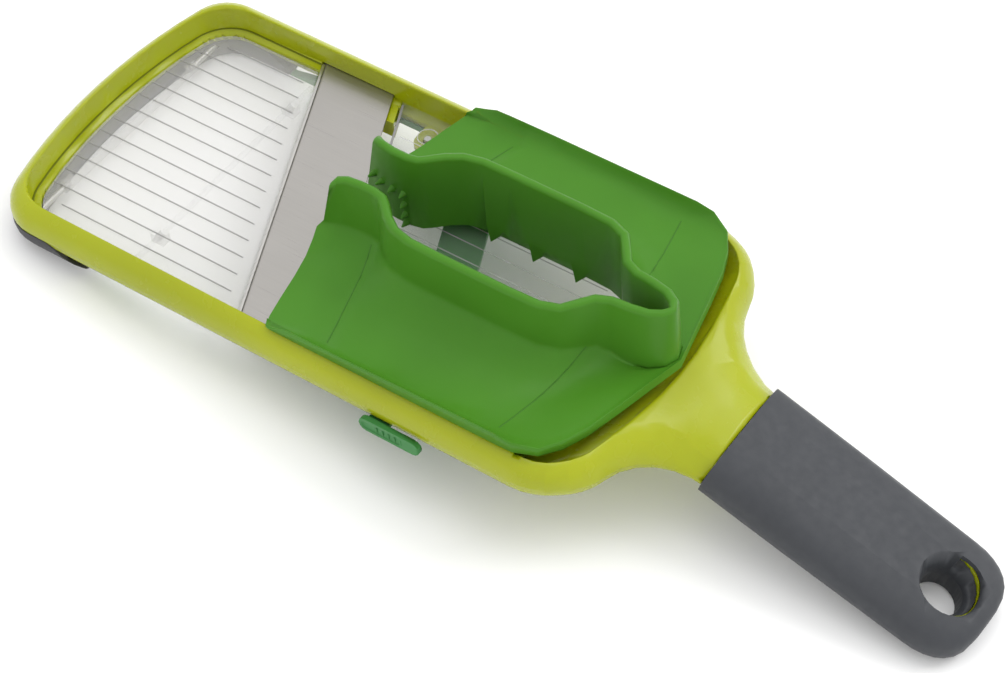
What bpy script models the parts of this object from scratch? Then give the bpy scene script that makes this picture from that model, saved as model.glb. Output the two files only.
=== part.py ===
"""Mandoline slicer: a one-piece frame on a drooping handle, with a tilting clear runway plate,
a skewed blade, a clear landing plate, a thickness adjuster and a food grip that rides on the rails.

The slicer is modelled flat in its own body axes: X runs from the front groove towards the handle,
Y across the rails, Z up from the ledge that the plates lie on. One empty then tilts it on to its
front foot and handle end, the way it stands on a table. Metres throughout."""
import math

import bmesh
import bpy
from mathutils import Matrix, Vector

MM = 0.001
GAP = 0.3 * MM

# Frame
HALF_WIDTH = 62.0 * MM
WALL = 5.6 * MM
CREST_Z = 10.3 * MM
BASE_Z = -7.5 * MM
FRONT_X = -6.0 * MM
FRONT_BOW = 2.513  # metres of sweep per square metre of half width
CORNER_RADIUS = 16.5 * MM
CORNER_CENTRE = (16.17 * MM, 45.5 * MM)
CORNER_START_Y = 49.5 * MM
TRAY_CORNER_RADIUS = 16.4 * MM
TRAY_CORNER_CENTRE = (20.5 * MM, 40.0 * MM)
TRAY_CORNER_START_Y = 43.6 * MM
SIDE_ROUND = 8.0 * MM
CREST_ROUND = 1.6 * MM
REAR_RADIUS = 24.5 * MM
REAR_CENTRE = (213.5 * MM, 37.5 * MM)
NECK_RADIUS = 24.6 * MM
NECK_HALF = 21.5 * MM
LIP = 3.0 * MM
LIP_THICK = 3.0 * MM
TRAY_END_X = 237.0 * MM
TRAY_SLOPE = 0.6
LEDGE_Z = -2.5 * MM
WINDOW_END_X = 200.0 * MM

# Neck and handle
DROOP = math.radians(19.5)
COLLAR = Vector((259.4 * MM, 0.0, -12.2 * MM))
NECK_START_X = 226.0 * MM
DECK_DROP = 1.8 * MM
HANDLE_LENGTH = 97.5 * MM
HANDLE_HALF_WIDTH = 22.4 * MM
HANDLE_HALF_THICK = 10.0 * MM
TANG_HALF_WIDTH = 18.4 * MM
TANG_HALF_THICK = 6.4 * MM
TANG_LENGTH = 88.0 * MM
HOLE_ALONG = 80.2 * MM
HOLE_RADIUS = 7.6 * MM
HOLE_MOUTH_RADIUS = 11.0 * MM
TANG_HOLE_RADIUS = 10.6 * MM

# Front foot
FOOT_TOP_Z = -0.8 * MM
FOOT_BOTTOM_Z = -10.0 * MM
FOOT_END_X = 38.0 * MM
FOOT_SKIN = 2.2 * MM
FOOT_LEG = 8.6 * MM

# Blade and plates
SKEW = 0.44
EDGE_X = 76.4 * MM
BLADE_WIDTH_X = 31.0 * MM
BLADE_HALF = 57.6 * MM
BLADE_LOW_Z = 0.2 * MM
BLADE_THICK = 0.8 * MM
PLATE_THICK = 2.2 * MM
RUNWAY_TOP_Z = -0.7 * MM
RUNWAY_GAP = 1.2 * MM
RIDGES = 14
RIDGE_PITCH = 7.0 * MM
LANDING_GAP = 4.0 * MM
HINGE = Vector((8.5 * MM, 0.0, -5.6 * MM))
BARREL_RADIUS = 2.2 * MM

# Adjuster: arms under the ledges with ramps for the lift rod
ARM_IN = 53.1 * MM
ARM_OUT = 55.9 * MM
ARM_TOP_Z = -5.0 * MM
ARM_LOW_Z = -7.4 * MM
ROD_X = 52.0 * MM
ROD_Z = -4.5 * MM
ROD_RADIUS = 1.1 * MM
RAMP_DROP = 2.6 * MM
SLIDE_TRAVEL = 12.0 * MM
BAR_X = 148.0 * MM
BAR_LENGTH = 17.0 * MM
NECK_X = 163.0 * MM
TAB_X = 169.2 * MM
TAB_LENGTH = 23.8 * MM
SPRING_SCREW = (209.0 * MM, -30.0 * MM)

# Food grip
GRIP_TOP = 36.0  # the grip's own sizes are in millimetres
GRIP_WALL = 3.6

# Table contact in body axes: under the foot's front edge and under the handle's end
FOOT_CONTACT = Vector((-2.0 * MM, 0.0, -9.5 * MM))
HANDLE_CONTACT_ALONG = 88.0 * MM
HANDLE_CONTACT_DEPTH = 8.1 * MM

BOLD = 1.2  # how far cutters run past the faces they open, as a factor


# ---------------------------------------------------------------- scene, materials and mesh helpers

def clear_scene():
    for obj in list(bpy.data.objects):
        bpy.data.objects.remove(obj, do_unlink=True)


def new_collection(name):
    collection = bpy.data.collections.new(name)
    bpy.context.scene.collection.children.link(collection)
    return collection


def make_material(name, colour, roughness, metallic=0.0, alpha=1.0):
    material = bpy.data.materials.new(name)
    material.use_nodes = True
    shader = material.node_tree.nodes["Principled BSDF"]
    shader.inputs["Base Color"].default_value = (*colour, 1.0)
    shader.inputs["Roughness"].default_value = roughness
    shader.inputs["Metallic"].default_value = metallic
    shader.inputs["Alpha"].default_value = alpha
    return material


def object_from(bm, name):
    bmesh.ops.recalc_face_normals(bm, faces=bm.faces[:])
    mesh = bpy.data.meshes.new(name)
    bm.to_mesh(mesh)
    bm.free()
    return bpy.data.objects.new(name, mesh)


def add_part(obj, material):
    obj.data.materials.clear()
    obj.data.materials.append(material)
    PARTS.objects.link(obj)
    obj.parent = BODY
    obj.data.shade_smooth()
    obj.data.set_sharp_from_angle(angle=math.radians(35.0))
    return obj


def bake(obj):
    """Replace an object's mesh with its evaluated one and drop its modifiers."""
    linked = list(obj.users_collection)
    if not linked:
        CUTTERS.objects.link(obj)
    graph = bpy.context.evaluated_depsgraph_get()
    graph.update()
    mesh = bpy.data.meshes.new_from_object(obj.evaluated_get(graph))
    obj.modifiers.clear()
    obj.data = mesh
    if not linked:
        CUTTERS.objects.unlink(obj)
    return obj


def combine(obj, other, operation):
    """Apply one exact Boolean and remove the tool object."""
    CUTTERS.objects.link(other)
    modifier = obj.modifiers.new("combine", "BOOLEAN")
    modifier.object = other
    modifier.operation = operation
    modifier.solver = "EXACT"
    bake(obj)
    bpy.data.objects.remove(other, do_unlink=True)
    return obj


def cut(obj, other):
    return combine(obj, other, "DIFFERENCE")


def join(obj, other):
    return combine(obj, other, "UNION")


def extrude_outline(name, points, low, high):
    """A flat outline in plan, filled and extruded from one height to another."""
    curve = bpy.data.curves.new(name, "CURVE")
    curve.dimensions = "2D"
    curve.fill_mode = "BOTH"
    curve.extrude = (high - low) / 2.0
    spline = curve.splines.new("POLY")
    spline.points.add(len(points) - 1)
    for point, place in zip(spline.points, points):
        point.co = (place[0], place[1], 0.0, 1.0)
    spline.use_cyclic_u = True
    guide = bpy.data.objects.new(name + "_curve", curve)
    CUTTERS.objects.link(guide)
    graph = bpy.context.evaluated_depsgraph_get()
    mesh = bpy.data.meshes.new_from_object(guide.evaluated_get(graph))
    mesh.transform(Matrix.Translation((0.0, 0.0, (high + low) / 2.0)))
    bpy.data.objects.remove(guide, do_unlink=True)
    bm = bmesh.new()
    bm.from_mesh(mesh)
    bmesh.ops.remove_doubles(bm, verts=bm.verts[:], dist=0.00001)
    bmesh.ops.dissolve_limit(bm, angle_limit=0.0005, verts=bm.verts[:], edges=bm.edges[:])
    return object_from(bm, name)


def round_edges(obj, width, segments, angle=50.0):
    bevel = obj.modifiers.new("rounding", "BEVEL")
    bevel.width = width
    bevel.segments = segments
    bevel.limit_method = "ANGLE"
    bevel.angle_limit = math.radians(angle)
    bevel.use_clamp_overlap = False
    return bake(obj)


def block(name, low, high):
    """An axis-aligned box between two corners."""
    low = Vector(low)
    high = Vector(high)
    bm = bmesh.new()
    bmesh.ops.create_cube(bm, size=1.0)
    bmesh.ops.scale(bm, vec=high - low, verts=bm.verts)
    bmesh.ops.translate(bm, vec=(high + low) / 2.0, verts=bm.verts)
    return object_from(bm, name)


def rod(name, start, end, radius, end_radius=None, sides=24):
    """A round bar or cone between two points."""
    start = Vector(start)
    end = Vector(end)
    bm = bmesh.new()
    bmesh.ops.create_cone(
        bm, cap_ends=True, segments=sides, radius1=radius,
        radius2=radius if end_radius is None else end_radius, depth=(end - start).length)
    turn = Vector((0.0, 0.0, 1.0)).rotation_difference(end - start).to_matrix().to_4x4()
    bmesh.ops.transform(bm, matrix=Matrix.Translation((start + end) / 2.0) @ turn, verts=bm.verts)
    return object_from(bm, name)


def loft(name, rings, start_caps=None, end_caps=None):
    """Skin a row of closed rings. Caps are lists of point indices, or one face for the whole ring."""
    count = len(rings[0])
    whole = [list(range(count))]
    bm = bmesh.new()
    rows = [[bm.verts.new(point) for point in ring] for ring in rings]
    for row, following in zip(rows, rows[1:]):
        for i in range(count):
            j = (i + 1) % count
            bm.faces.new((row[i], row[j], following[j], following[i]))
    for row, caps in ((rows[0], start_caps or whole), (rows[-1], end_caps or whole)):
        for cap in caps:
            bm.faces.new([row[i] for i in cap])
    return object_from(bm, name)


def smooth_step(value):
    value = min(max(value, 0.0), 1.0)
    return value * value * (3.0 - 2.0 * value)


# ---------------------------------------------------------------- plan outlines

def arc(centre, radius, start, end, steps):
    """Points on an arc, angles in degrees from +X, counter-clockwise positive."""
    points = []
    for i in range(steps + 1):
        angle = math.radians(start + (end - start) * i / steps)
        points.append((centre[0] + radius * math.cos(angle), centre[1] + radius * math.sin(angle)))
    return points


def front_half(inset, centre, radius, start_y):
    """The bowed front edge and its corner, on one side."""
    join_angle = math.degrees(math.atan(2.0 * FRONT_BOW * start_y))
    points = []
    for i in range(5):
        y = (start_y - inset * 0.2) * i / 5.0
        points.append((FRONT_X + inset + FRONT_BOW * y * y, y))
    return points + arc(centre, radius, 180.0 - join_angle, 90.0, 7)


def half_outline(inset, neck_end):
    """One side of the frame in plan, from the front centre to the neck, moved inwards by inset."""
    points = front_half(inset, CORNER_CENTRE, CORNER_RADIUS - inset, CORNER_START_Y)
    points += arc(REAR_CENTRE, REAR_RADIUS - inset, 90.0, 10.0, 8)
    if neck_end:
        turn = math.radians(10.0)
        start = (REAR_CENTRE[0] + REAR_RADIUS * math.cos(turn), REAR_CENTRE[1] + REAR_RADIUS * math.sin(turn))
        centre = (start[0] + NECK_RADIUS * math.cos(turn), start[1] + NECK_RADIUS * math.sin(turn))
        points += arc(centre, NECK_RADIUS + inset, 190.0, 270.0, 6)[1:]
        points.append((neck_end, NECK_HALF - inset))
    return points


def frame_outline(inset=0.0, neck_end=None, end_x=None):
    """The whole plan outline; end_x squares it off short of the rear corners."""
    half = half_outline(inset, neck_end)
    if end_x is not None:
        half = [p for p in half if p[0] < end_x - 0.5 * MM] + [(end_x, HALF_WIDTH - inset)]
    mirrored = [(x, -y) for x, y in reversed(half) if y > 0.0]
    return half + mirrored


def skewed_outline(start_x, end_x, half):
    """A parallelogram whose ends run parallel to the blade."""
    return [(start_x + SKEW * half, -half), (end_x + SKEW * half, -half),
            (end_x - SKEW * half, half), (start_x - SKEW * half, half)]


# ---------------------------------------------------------------- frame

def bend_neck(obj, split):
    """Droop everything behind the deck along a smooth curve, and crown its top and bottom."""
    bm = bmesh.new()
    bm.from_mesh(obj.data)
    for i in range(split + 1):
        x = NECK_START_X + (COLLAR.x + 6.0 * MM - NECK_START_X) * i / split
        cut_plane(bm, (x, 0.0, 0.0), (1.0, 0.0, 0.0))
    for y in (-0.017, -0.01, 0.0, 0.01, 0.017):
        across = [f for f in bm.faces if f.calc_center_median().x > NECK_START_X + 6.0 * MM]
        cut_plane(bm, (0.0, y, 0.0), (0.0, 1.0, 0.0), across)
    middle = (CREST_Z + BASE_Z) / 2.0
    for vert in bm.verts:
        x, y, z = vert.co
        blend = smooth_step((x - NECK_START_X - 6.0 * MM) / (COLLAR.x - NECK_START_X - 6.0 * MM))
        half = plan_half_width(x)
        ease = 1.0 - 0.72 * blend * min(abs(y) / half, 1.0) ** 2.6
        grow = 1.0 + blend * (HANDLE_HALF_THICK / math.cos(DROOP) / (middle - BASE_Z) - 1.0)
        deck = DECK_DROP * smooth_step((x - 0.204) / 0.02) if z > middle else 0.0
        vert.co.z = middle + (z - middle) * grow * ease - deck * (1.0 - blend) - neck_drop(x)
    return finish_bend(bm, obj)


def cut_plane(bm, point, normal, faces=None):
    faces = bm.faces[:] if faces is None else faces
    edges = list({edge for face in faces for edge in face.edges})
    verts = list({vert for face in faces for vert in face.verts})
    bmesh.ops.bisect_plane(bm, geom=verts + edges + faces, plane_co=point, plane_no=normal, dist=0.000001)


def finish_bend(bm, obj):
    bmesh.ops.recalc_face_normals(bm, faces=bm.faces[:])
    bm.to_mesh(obj.data)
    bm.free()
    return obj


def neck_drop(x):
    """How far the middle of the neck has fallen below the rails' middle at x."""
    middle = (CREST_Z + BASE_Z) / 2.0
    span = COLLAR.x - NECK_START_X
    along = (x - NECK_START_X) / span
    total = middle - COLLAR.z
    if along <= 0.0:
        return 0.0
    if along >= 1.0:
        return total + (x - COLLAR.x) * math.tan(DROOP)
    end_slope = math.tan(DROOP) * span
    return (3.0 * total - end_slope) * along ** 2 + (end_slope - 2.0 * total) * along ** 3


def plan_half_width(x):
    """The frame's half width in plan behind the rails."""
    if x < REAR_CENTRE[0]:
        return HALF_WIDTH
    half = NECK_HALF
    outline = [p for p in half_outline(0.0, 0.4) if p[0] >= REAR_CENTRE[0] - MM]
    for first, second in zip(outline, outline[1:]):
        if first[0] <= x <= second[0] and second[0] > first[0]:
            share = (x - first[0]) / (second[0] - first[0])
            half = first[1] + (second[1] - first[1]) * share
    return half


def blade_pad(side, name):
    """Solid pads under the blade's ends, inside the wall."""
    inner = 46.0 * MM
    outer = HALF_WIDTH - WALL + 1.0 * MM
    points = []
    for x, y in ((EDGE_X + 4.0 * MM, inner), (EDGE_X + 34.0 * MM, inner),
                 (EDGE_X + 34.0 * MM, outer), (EDGE_X + 4.0 * MM, outer)):
        points.append((x - SKEW * y * side, y * side))
    if side < 0:
        points.reverse()
    return extrude_outline(name, points, BASE_Z + 0.5 * MM, -0.1 * MM)


def blade_screw_places():
    places = []
    for side in (-1.0, 1.0):
        for along in (10.0 * MM, 25.0 * MM):
            y = 49.6 * MM * side
            places.append((EDGE_X + along - SKEW * y, y))
    return places


def lug_places():
    """Where the landing plate is screwed to lugs on the side ledges."""
    return [(104.0 * MM, 47.0 * MM), (145.0 * MM, -47.0 * MM)]


def landing_screw_places():
    return lug_places() + [(206.0 * MM, 12.0 * MM), (206.0 * MM, -12.0 * MM)]


def handle_matrix():
    """From handle axes (X along the handle, Z its top) to body axes."""
    return Matrix.Translation(COLLAR) @ Matrix.Rotation(DROOP, 4, "Y")


def tang_shape(name, grow, length):
    """The bar inside the handle, as a slab with a round end, grown by a clearance."""
    half = TANG_HALF_WIDTH + grow
    end = length + grow
    points = [(-12.0 * MM, -half)]
    points += arc((end - half * 0.8, 0.0), half, -90.0, 90.0, 12)
    points.append((-12.0 * MM, half))
    thick = TANG_HALF_THICK + grow
    bar = extrude_outline(name, points, -thick, thick)
    round_edges(bar, 4.0 * MM, 3)
    bar.data.transform(handle_matrix())
    return bar


def hinge_bore(name, side, radius):
    start = HINGE + Vector((0.0, 33.0 * MM * side, 0.0))
    end = HINGE + Vector((0.0, 57.0 * MM * side, 0.0))
    return rod(name, start, end, radius, sides=16)


def foot_profile(grow):
    """The foot's side view: level, then an S down to nothing under the rails."""
    points = [(-20.0 * MM, FOOT_TOP_Z + grow)]
    for i in range(9):
        share = i / 8.0
        x = 23.0 * MM + (FOOT_END_X - 23.0 * MM) * share
        points.append((x + grow, FOOT_TOP_Z + grow + (BASE_Z - FOOT_TOP_Z - 0.6 * MM) * smooth_step(share)))
    points.append((FOOT_END_X + grow, FOOT_BOTTOM_Z * BOLD))
    points.append((-20.0 * MM, FOOT_BOTTOM_Z * BOLD))
    return points


def side_prism(name, profile, half):
    """A profile in X and Z, extruded across from -half to half."""
    prism = extrude_outline(name, [(x, z) for x, z in profile], -half, half)
    prism.data.transform(Matrix.Rotation(math.radians(90.0), 4, "X"))
    return prism


def undercut_shape():
    """The space under the ledges: high beside the runway, lower beside the landing plate."""
    low = BASE_Z * 2.0
    shape = extrude_outline("undercut", window_outline(WALL, WINDOW_END_X + 4.0 * MM), low, -LIP_THICK)
    keep = skewed_outline(EDGE_X + 8.0 * MM, 0.3, 0.08)
    return cut(shape, extrude_outline("keep", keep, -4.5 * MM, 2.0 * MM))


def build_frame(material):
    body = extrude_outline("frame", frame_outline(0.0, COLLAR.x + 20.0 * MM), BASE_Z, CREST_Z)
    round_edges(body, SIDE_ROUND, 5)
    cut(body, tray_shape())
    window = extrude_outline("window", window_outline(WALL + LIP, WINDOW_END_X), BASE_Z * 2.0, 1.0 * MM)
    cut(body, window)
    cut(body, undercut_shape())
    rear_ledge = extrude_outline("rear_ledge", landing_outline(-0.35 * MM), LEDGE_Z, 1.0 * MM)
    cut(body, rear_ledge)
    for side in (-1.0, 1.0):
        join(body, blade_pad(side, "pad"))
    for x, y in lug_places():
        wall_y = math.copysign(55.0 * MM, y)
        join(body, block("lug", (x - 5 * MM, min(y, wall_y), -4.5 * MM), (x + 5 * MM, max(y, wall_y), LEDGE_Z)))
        join(body, rod("lug_end", (x, y, -4.5 * MM), (x, y, LEDGE_Z), 5.0 * MM))
    kerf = extrude_outline("kerf", skewed_outline(EDGE_X - 0.5 * MM, EDGE_X + BLADE_WIDTH_X + 0.5 * MM,
                                                  58.0 * MM), -0.1 * MM, BLADE_LOW_Z + BLADE_THICK + GAP)
    cut(body, kerf)
    cut_frame_holes(body)
    bend_neck(body, 9)
    trim_neck(body)
    tang = tang_shape("tang", 0.0, TANG_LENGTH)
    join(body, tang)
    hole = rod("tang_hole", handle_point(HOLE_ALONG, -0.02), handle_point(HOLE_ALONG, 0.02), TANG_HOLE_RADIUS)
    cut(body, hole)
    return add_part(body, material)


def cut_frame_holes(body):
    """Rebate for the foot, pin bores, screw holes, the tab's slot and the slide's grooves."""
    ring = extrude_outline("rebate", frame_outline(-3.0 * MM, end_x=FOOT_END_X + 8 * MM), BASE_Z * 2.0, 2.0 * MM)
    core = extrude_outline("core", frame_outline(FOOT_SKIN, end_x=FOOT_END_X + 12 * MM), BASE_Z * 3.0, 4.0 * MM)
    cut(ring, core)
    combine(ring, side_prism("foot_side", foot_profile(GAP), 0.08), "INTERSECT")
    cut(body, ring)
    for side in (-1.0, 1.0):
        cut(body, hinge_bore("bore", side, 1.4 * MM))
    for x, y in blade_screw_places():
        cut(body, rod("stud_hole", (x, y, -4.2 * MM), (x, y, 1.0 * MM), 2.8 * MM, sides=16))
        cut(body, rod("shank_hole", (x, y, BASE_Z * 2.0), (x, y, -4.0 * MM), 1.9 * MM, sides=16))
    for x, y in landing_screw_places():
        cut(body, rod("shank_hole", (x, y, BASE_Z * 2.0), (x, y, 0.0), 1.9 * MM, sides=16))
    for x, y in landing_screw_places()[2:]:
        cut(body, rod("head_hole", (x, y, BASE_Z * 2.0), (x, y, -4.5 * MM), 3.3 * MM, sides=16))
    cut(body, block("tab_slot", (NECK_X - 4.5 * MM, -70.0 * MM, -6.3 * MM),
                    (NECK_X + 4.5 * MM + SLIDE_TRAVEL, -50.0 * MM, -4.5 * MM)))
    cut(body, block("groove", (NECK_X - 7.5 * MM, 50.0 * MM, -6.9 * MM),
                    (NECK_X + 7.5 * MM + SLIDE_TRAVEL, 58.8 * MM, -4.7 * MM)))
    for side in (-1.0, 1.0):
        passage = block("passage", (30.0 * MM, ARM_IN - 0.4 * MM, BASE_Z * 2.0), (180.0 * MM, ARM_OUT + 0.4 * MM, -4.7 * MM))
        passage.data.transform(Matrix.Diagonal((1.0, side, 1.0, 1.0)))
        cut(body, fix_normals(passage))
    x, y = SPRING_SCREW
    cut(body, rod("spring_screw_hole", (x, y, BASE_Z * 2.0), (x, y, -4.0 * MM), 1.5 * MM, sides=16))


def fix_normals(obj):
    """Turn a mirrored piece's faces outwards again."""
    bm = bmesh.new()
    bm.from_mesh(obj.data)
    return finish_bend(bm, obj)


def trim_neck(body):
    """Square the neck's end to the handle's axis, where the sleeve begins."""
    normal = Vector((math.cos(DROOP), 0.0, -math.sin(DROOP)))
    bm = bmesh.new()
    bm.from_mesh(body.data)
    geometry = bm.verts[:] + bm.edges[:] + bm.faces[:]
    result = bmesh.ops.bisect_plane(bm, geom=geometry, plane_co=COLLAR, plane_no=normal,
                                    clear_outer=True, dist=0.000001)
    edges = [item for item in result["geom_cut"] if isinstance(item, bmesh.types.BMEdge)]
    bmesh.ops.contextual_create(bm, geom=edges)
    finish_bend(bm, body)


def handle_point(along, up, across=0.0):
    return handle_matrix() @ Vector((along, across, up))


def tray_half(inset):
    """The front half of the walls' inside, moved inwards from the outer outline by inset."""
    radius = TRAY_CORNER_RADIUS - (inset - WALL)
    return front_half(inset, TRAY_CORNER_CENTRE, radius, TRAY_CORNER_START_Y)


def tray_outline(inset, end_x):
    """The inside of the walls in plan, closed at the rear by a shallow curve."""
    shift = end_x - TRAY_END_X
    half = tray_half(inset)
    half += arc((REAR_CENTRE[0] + shift, REAR_CENTRE[1]), REAR_RADIUS - inset, 90.0, 15.0, 7)
    half += [(end_x - 1.6 * MM, 22.0 * MM), (end_x - 0.3 * MM, 10.0 * MM), (end_x, 0.0)]
    mirrored = [(x, -y) for x, y in reversed(half) if y > 0.0]
    return half + mirrored


def window_outline(inset, end_x):
    """The opening in the tray's floor, square at the rear so that the adjuster's bar has room."""
    corner = 6.0 * MM
    half = tray_half(inset) + arc((end_x - corner, HALF_WIDTH - inset - corner), corner, 90.0, 0.0, 3)
    mirrored = [(x, -y) for x, y in reversed(half) if y > 0.0]
    return half + mirrored


def tray_shape():
    """The tray, whose rear end slopes up to the deck and whose mouth is rounded over the crest."""
    rings = []
    pivot = 205.0 * MM
    for z, out in ((0.0, 0.0), (CREST_Z - CREST_ROUND, 0.0), (CREST_Z - 0.6 * CREST_ROUND, 0.1),
                   (CREST_Z - 0.2 * CREST_ROUND, 0.5), (CREST_Z, 1.0), (2.0 * CREST_Z, 1.01)):
        ring = tray_outline(WALL - out * CREST_ROUND, TRAY_END_X + out * CREST_ROUND)
        if z == 0.0:
            ring = [(pivot + (x - pivot) * TRAY_SLOPE, y) if x > pivot else (x, y) for x, y in ring]
        rings.append([(x, y, z) for x, y in ring])
    return loft("tray", rings)


def landing_outline(inset):
    """The landing plate: skewed front edge, straight sides, rounded rear end."""
    side = HALF_WIDTH - WALL - 0.4 * MM - inset
    front = EDGE_X + BLADE_WIDTH_X + LANDING_GAP + inset
    points = [(front - SKEW * side, side)]
    points += arc((176.0 * MM, 22.0 * MM), side - 22.0 * MM, 90.0, 20.0, 7)
    points += [(212.0 * MM - inset, 10.0 * MM), (212.0 * MM - inset, -10.0 * MM)]
    points += arc((176.0 * MM, -22.0 * MM), side - 22.0 * MM, -20.0, -90.0, 7)
    points.append((front + SKEW * side, -side))
    return points


# ---------------------------------------------------------------- handle sleeve and foot

def handle_ring(along, half_width, half_thick, count=20, power=2.7):
    ring = []
    for i in range(count):
        angle = 2.0 * math.pi * i / count
        c = math.cos(angle)
        s = math.sin(angle)
        y = half_width * math.copysign(abs(c) ** (2.0 / power), c)
        z = half_thick * math.copysign(abs(s) ** (2.0 / power), s)
        ring.append(handle_point(along, z, y))
    return ring


def build_sleeve(material):
    rings = []
    for along in (0.3, 15.0, 35.0, 55.0, 70.0, 80.0):
        share = along * MM / HANDLE_LENGTH
        rings.append(handle_ring(along * MM, HANDLE_HALF_WIDTH - 1.2 * MM * share ** 2,
                                 HANDLE_HALF_THICK - 1.6 * MM * share))
    start = 80.0 * MM
    for i in range(1, 8):
        turn = math.radians(90.0 * i / 7.5)
        along = start + (HANDLE_LENGTH - start) * math.sin(turn)
        rings.append(handle_ring(along, 21.6 * MM * max(math.cos(turn) ** 0.55, 0.3),
                                 8.7 * MM * max(math.cos(turn) ** 0.35, 0.5)))
    sleeve = loft("handle_sleeve", rings)
    cavity = tang_shape("cavity", GAP, TANG_LENGTH)
    liner = rod("liner", handle_point(HOLE_ALONG, -0.02), handle_point(HOLE_ALONG, 0.02), TANG_HOLE_RADIUS - GAP)
    cut(cavity, liner)
    cut(sleeve, cavity)
    mouth = rod("mouth", handle_point(HOLE_ALONG + 1.0 * MM, -1.0 * MM), handle_point(HOLE_ALONG + 1.0 * MM, 12 * MM),
                HOLE_RADIUS, HOLE_MOUTH_RADIUS + 1.5 * MM, sides=28)
    cut(sleeve, mouth)
    hole = rod("hole", handle_point(HOLE_ALONG, -0.02), handle_point(HOLE_ALONG, 0.01), HOLE_RADIUS, sides=28)
    cut(sleeve, hole)
    return add_part(level_to_table(sleeve), material)


def table_tilt():
    """The slope between the two contacts, and the contact under the handle."""
    contact = handle_point(HANDLE_CONTACT_ALONG, -HANDLE_CONTACT_DEPTH)
    return math.atan2(FOOT_CONTACT.z - contact.z, contact.x - FOOT_CONTACT.x)


def level_to_table(obj):
    """Shave off what would reach below the table, leaving a flat to stand on."""
    tilt = table_tilt()
    bm = bmesh.new()
    bm.from_mesh(obj.data)
    geometry = bm.verts[:] + bm.edges[:] + bm.faces[:]
    down = Vector((-math.sin(tilt), 0.0, -math.cos(tilt)))
    result = bmesh.ops.bisect_plane(bm, geom=geometry, plane_co=FOOT_CONTACT, plane_no=down,
                                    clear_outer=True, dist=0.000001)
    edges = [item for item in result["geom_cut"] if isinstance(item, bmesh.types.BMEdge)]
    bmesh.ops.contextual_create(bm, geom=edges)
    return finish_bend(bm, obj)


def build_foot(material):
    foot = extrude_outline("front_foot", frame_outline(0.0, end_x=FOOT_END_X + 6 * MM), FOOT_BOTTOM_Z, CREST_Z)
    round_edges(foot, SIDE_ROUND - 0.5 * MM, 5)
    combine(foot, side_prism("foot_side", foot_profile(0.0), 0.08), "INTERSECT")
    inside = extrude_outline("inside", tray_outline(FOOT_LEG, WINDOW_END_X), FOOT_BOTTOM_Z * 2, 15 * MM)
    cut(foot, inside)
    wall = extrude_outline("wall", frame_outline(FOOT_SKIN - GAP, end_x=FOOT_END_X + 20 * MM), BASE_Z - GAP, 15 * MM)
    round_edges(wall, 3.0 * MM, 3)
    hollow = extrude_outline("hollow", tray_outline(WALL + GAP, WINDOW_END_X), BASE_Z * 2, 16 * MM)
    cut(wall, hollow)
    cut(foot, wall)
    lip = extrude_outline("lip", tray_outline(WALL - 1 * MM, WINDOW_END_X), -LIP_THICK - GAP, 15 * MM)
    cut(foot, lip)
    for side in (-1.0, 1.0):
        cut(foot, hinge_bore("bore", side, 1.4 * MM))
    return add_part(level_to_table(foot), material)


# ---------------------------------------------------------------- blade and plates

def build_blade(material):
    half = BLADE_HALF
    top = BLADE_LOW_Z + BLADE_THICK
    blade = extrude_outline("blade", skewed_outline(EDGE_X, EDGE_X + BLADE_WIDTH_X, half), BLADE_LOW_Z, top)
    wedge = side_prism("wedge", [(-1.0 * MM, BLADE_LOW_Z + 0.1 * MM), (0.0, BLADE_LOW_Z + 0.1 * MM),
                                 (2.4 * MM, top + 0.05 * MM), (2.4 * MM, top + 2 * MM), (-1.0 * MM, top + 2 * MM)], 0.08)
    shear = Matrix.Identity(4)
    shear[0][1] = -SKEW
    wedge.data.transform(Matrix.Translation((EDGE_X, 0.0, 0.0)) @ shear)
    cut(blade, wedge)
    for x, y in blade_screw_places():
        join(blade, rod("stud", (x, y, -3.7 * MM), (x, y, BLADE_LOW_Z + 0.2 * MM), 2.4 * MM, sides=16))
        cut(blade, rod("thread", (x, y, -4.5 * MM), (x, y, -0.6 * MM), 1.5 * MM, sides=16))
    return add_part(blade, material)


def build_screws(places, stem, low_z, top_z, material):
    """Round-head screws from below: one shared mesh."""
    screw = rod("screw", (0.0, 0.0, 0.0), (0.0, 0.0, top_z - low_z), 1.2 * MM, sides=12)
    join(screw, rod("head", (0.0, 0.0, -1.5 * MM), (0.0, 0.0, 0.2 * MM), 2.0 * MM, 2.9 * MM, sides=16))
    cut(screw, block("slot", (-4 * MM, -0.4 * MM, -2.5 * MM), (4 * MM, 0.4 * MM, -0.7 * MM)))
    for number, (x, y) in enumerate(places, start=1):
        copy = bpy.data.objects.new("%s_%d" % (stem, number), screw.data)
        copy.location = (x, y, low_z)
        add_part(copy, material)
    bpy.data.objects.remove(screw, do_unlink=True)


def runway_outline():
    """Rounded front corners inside the lips, skewed rear edge just ahead of the blade."""
    inset = WALL + LIP + 0.7 * MM
    half = tray_half(inset)
    side = HALF_WIDTH - inset
    rear = EDGE_X - RUNWAY_GAP
    half = [p for p in half if p[0] < 30.0 * MM]
    far = half + [(rear - SKEW * side, side)]
    near = [(rear + SKEW * side, -side)] + [(x, -y) for x, y in reversed(half) if y > 0.0]
    return far + near


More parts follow.
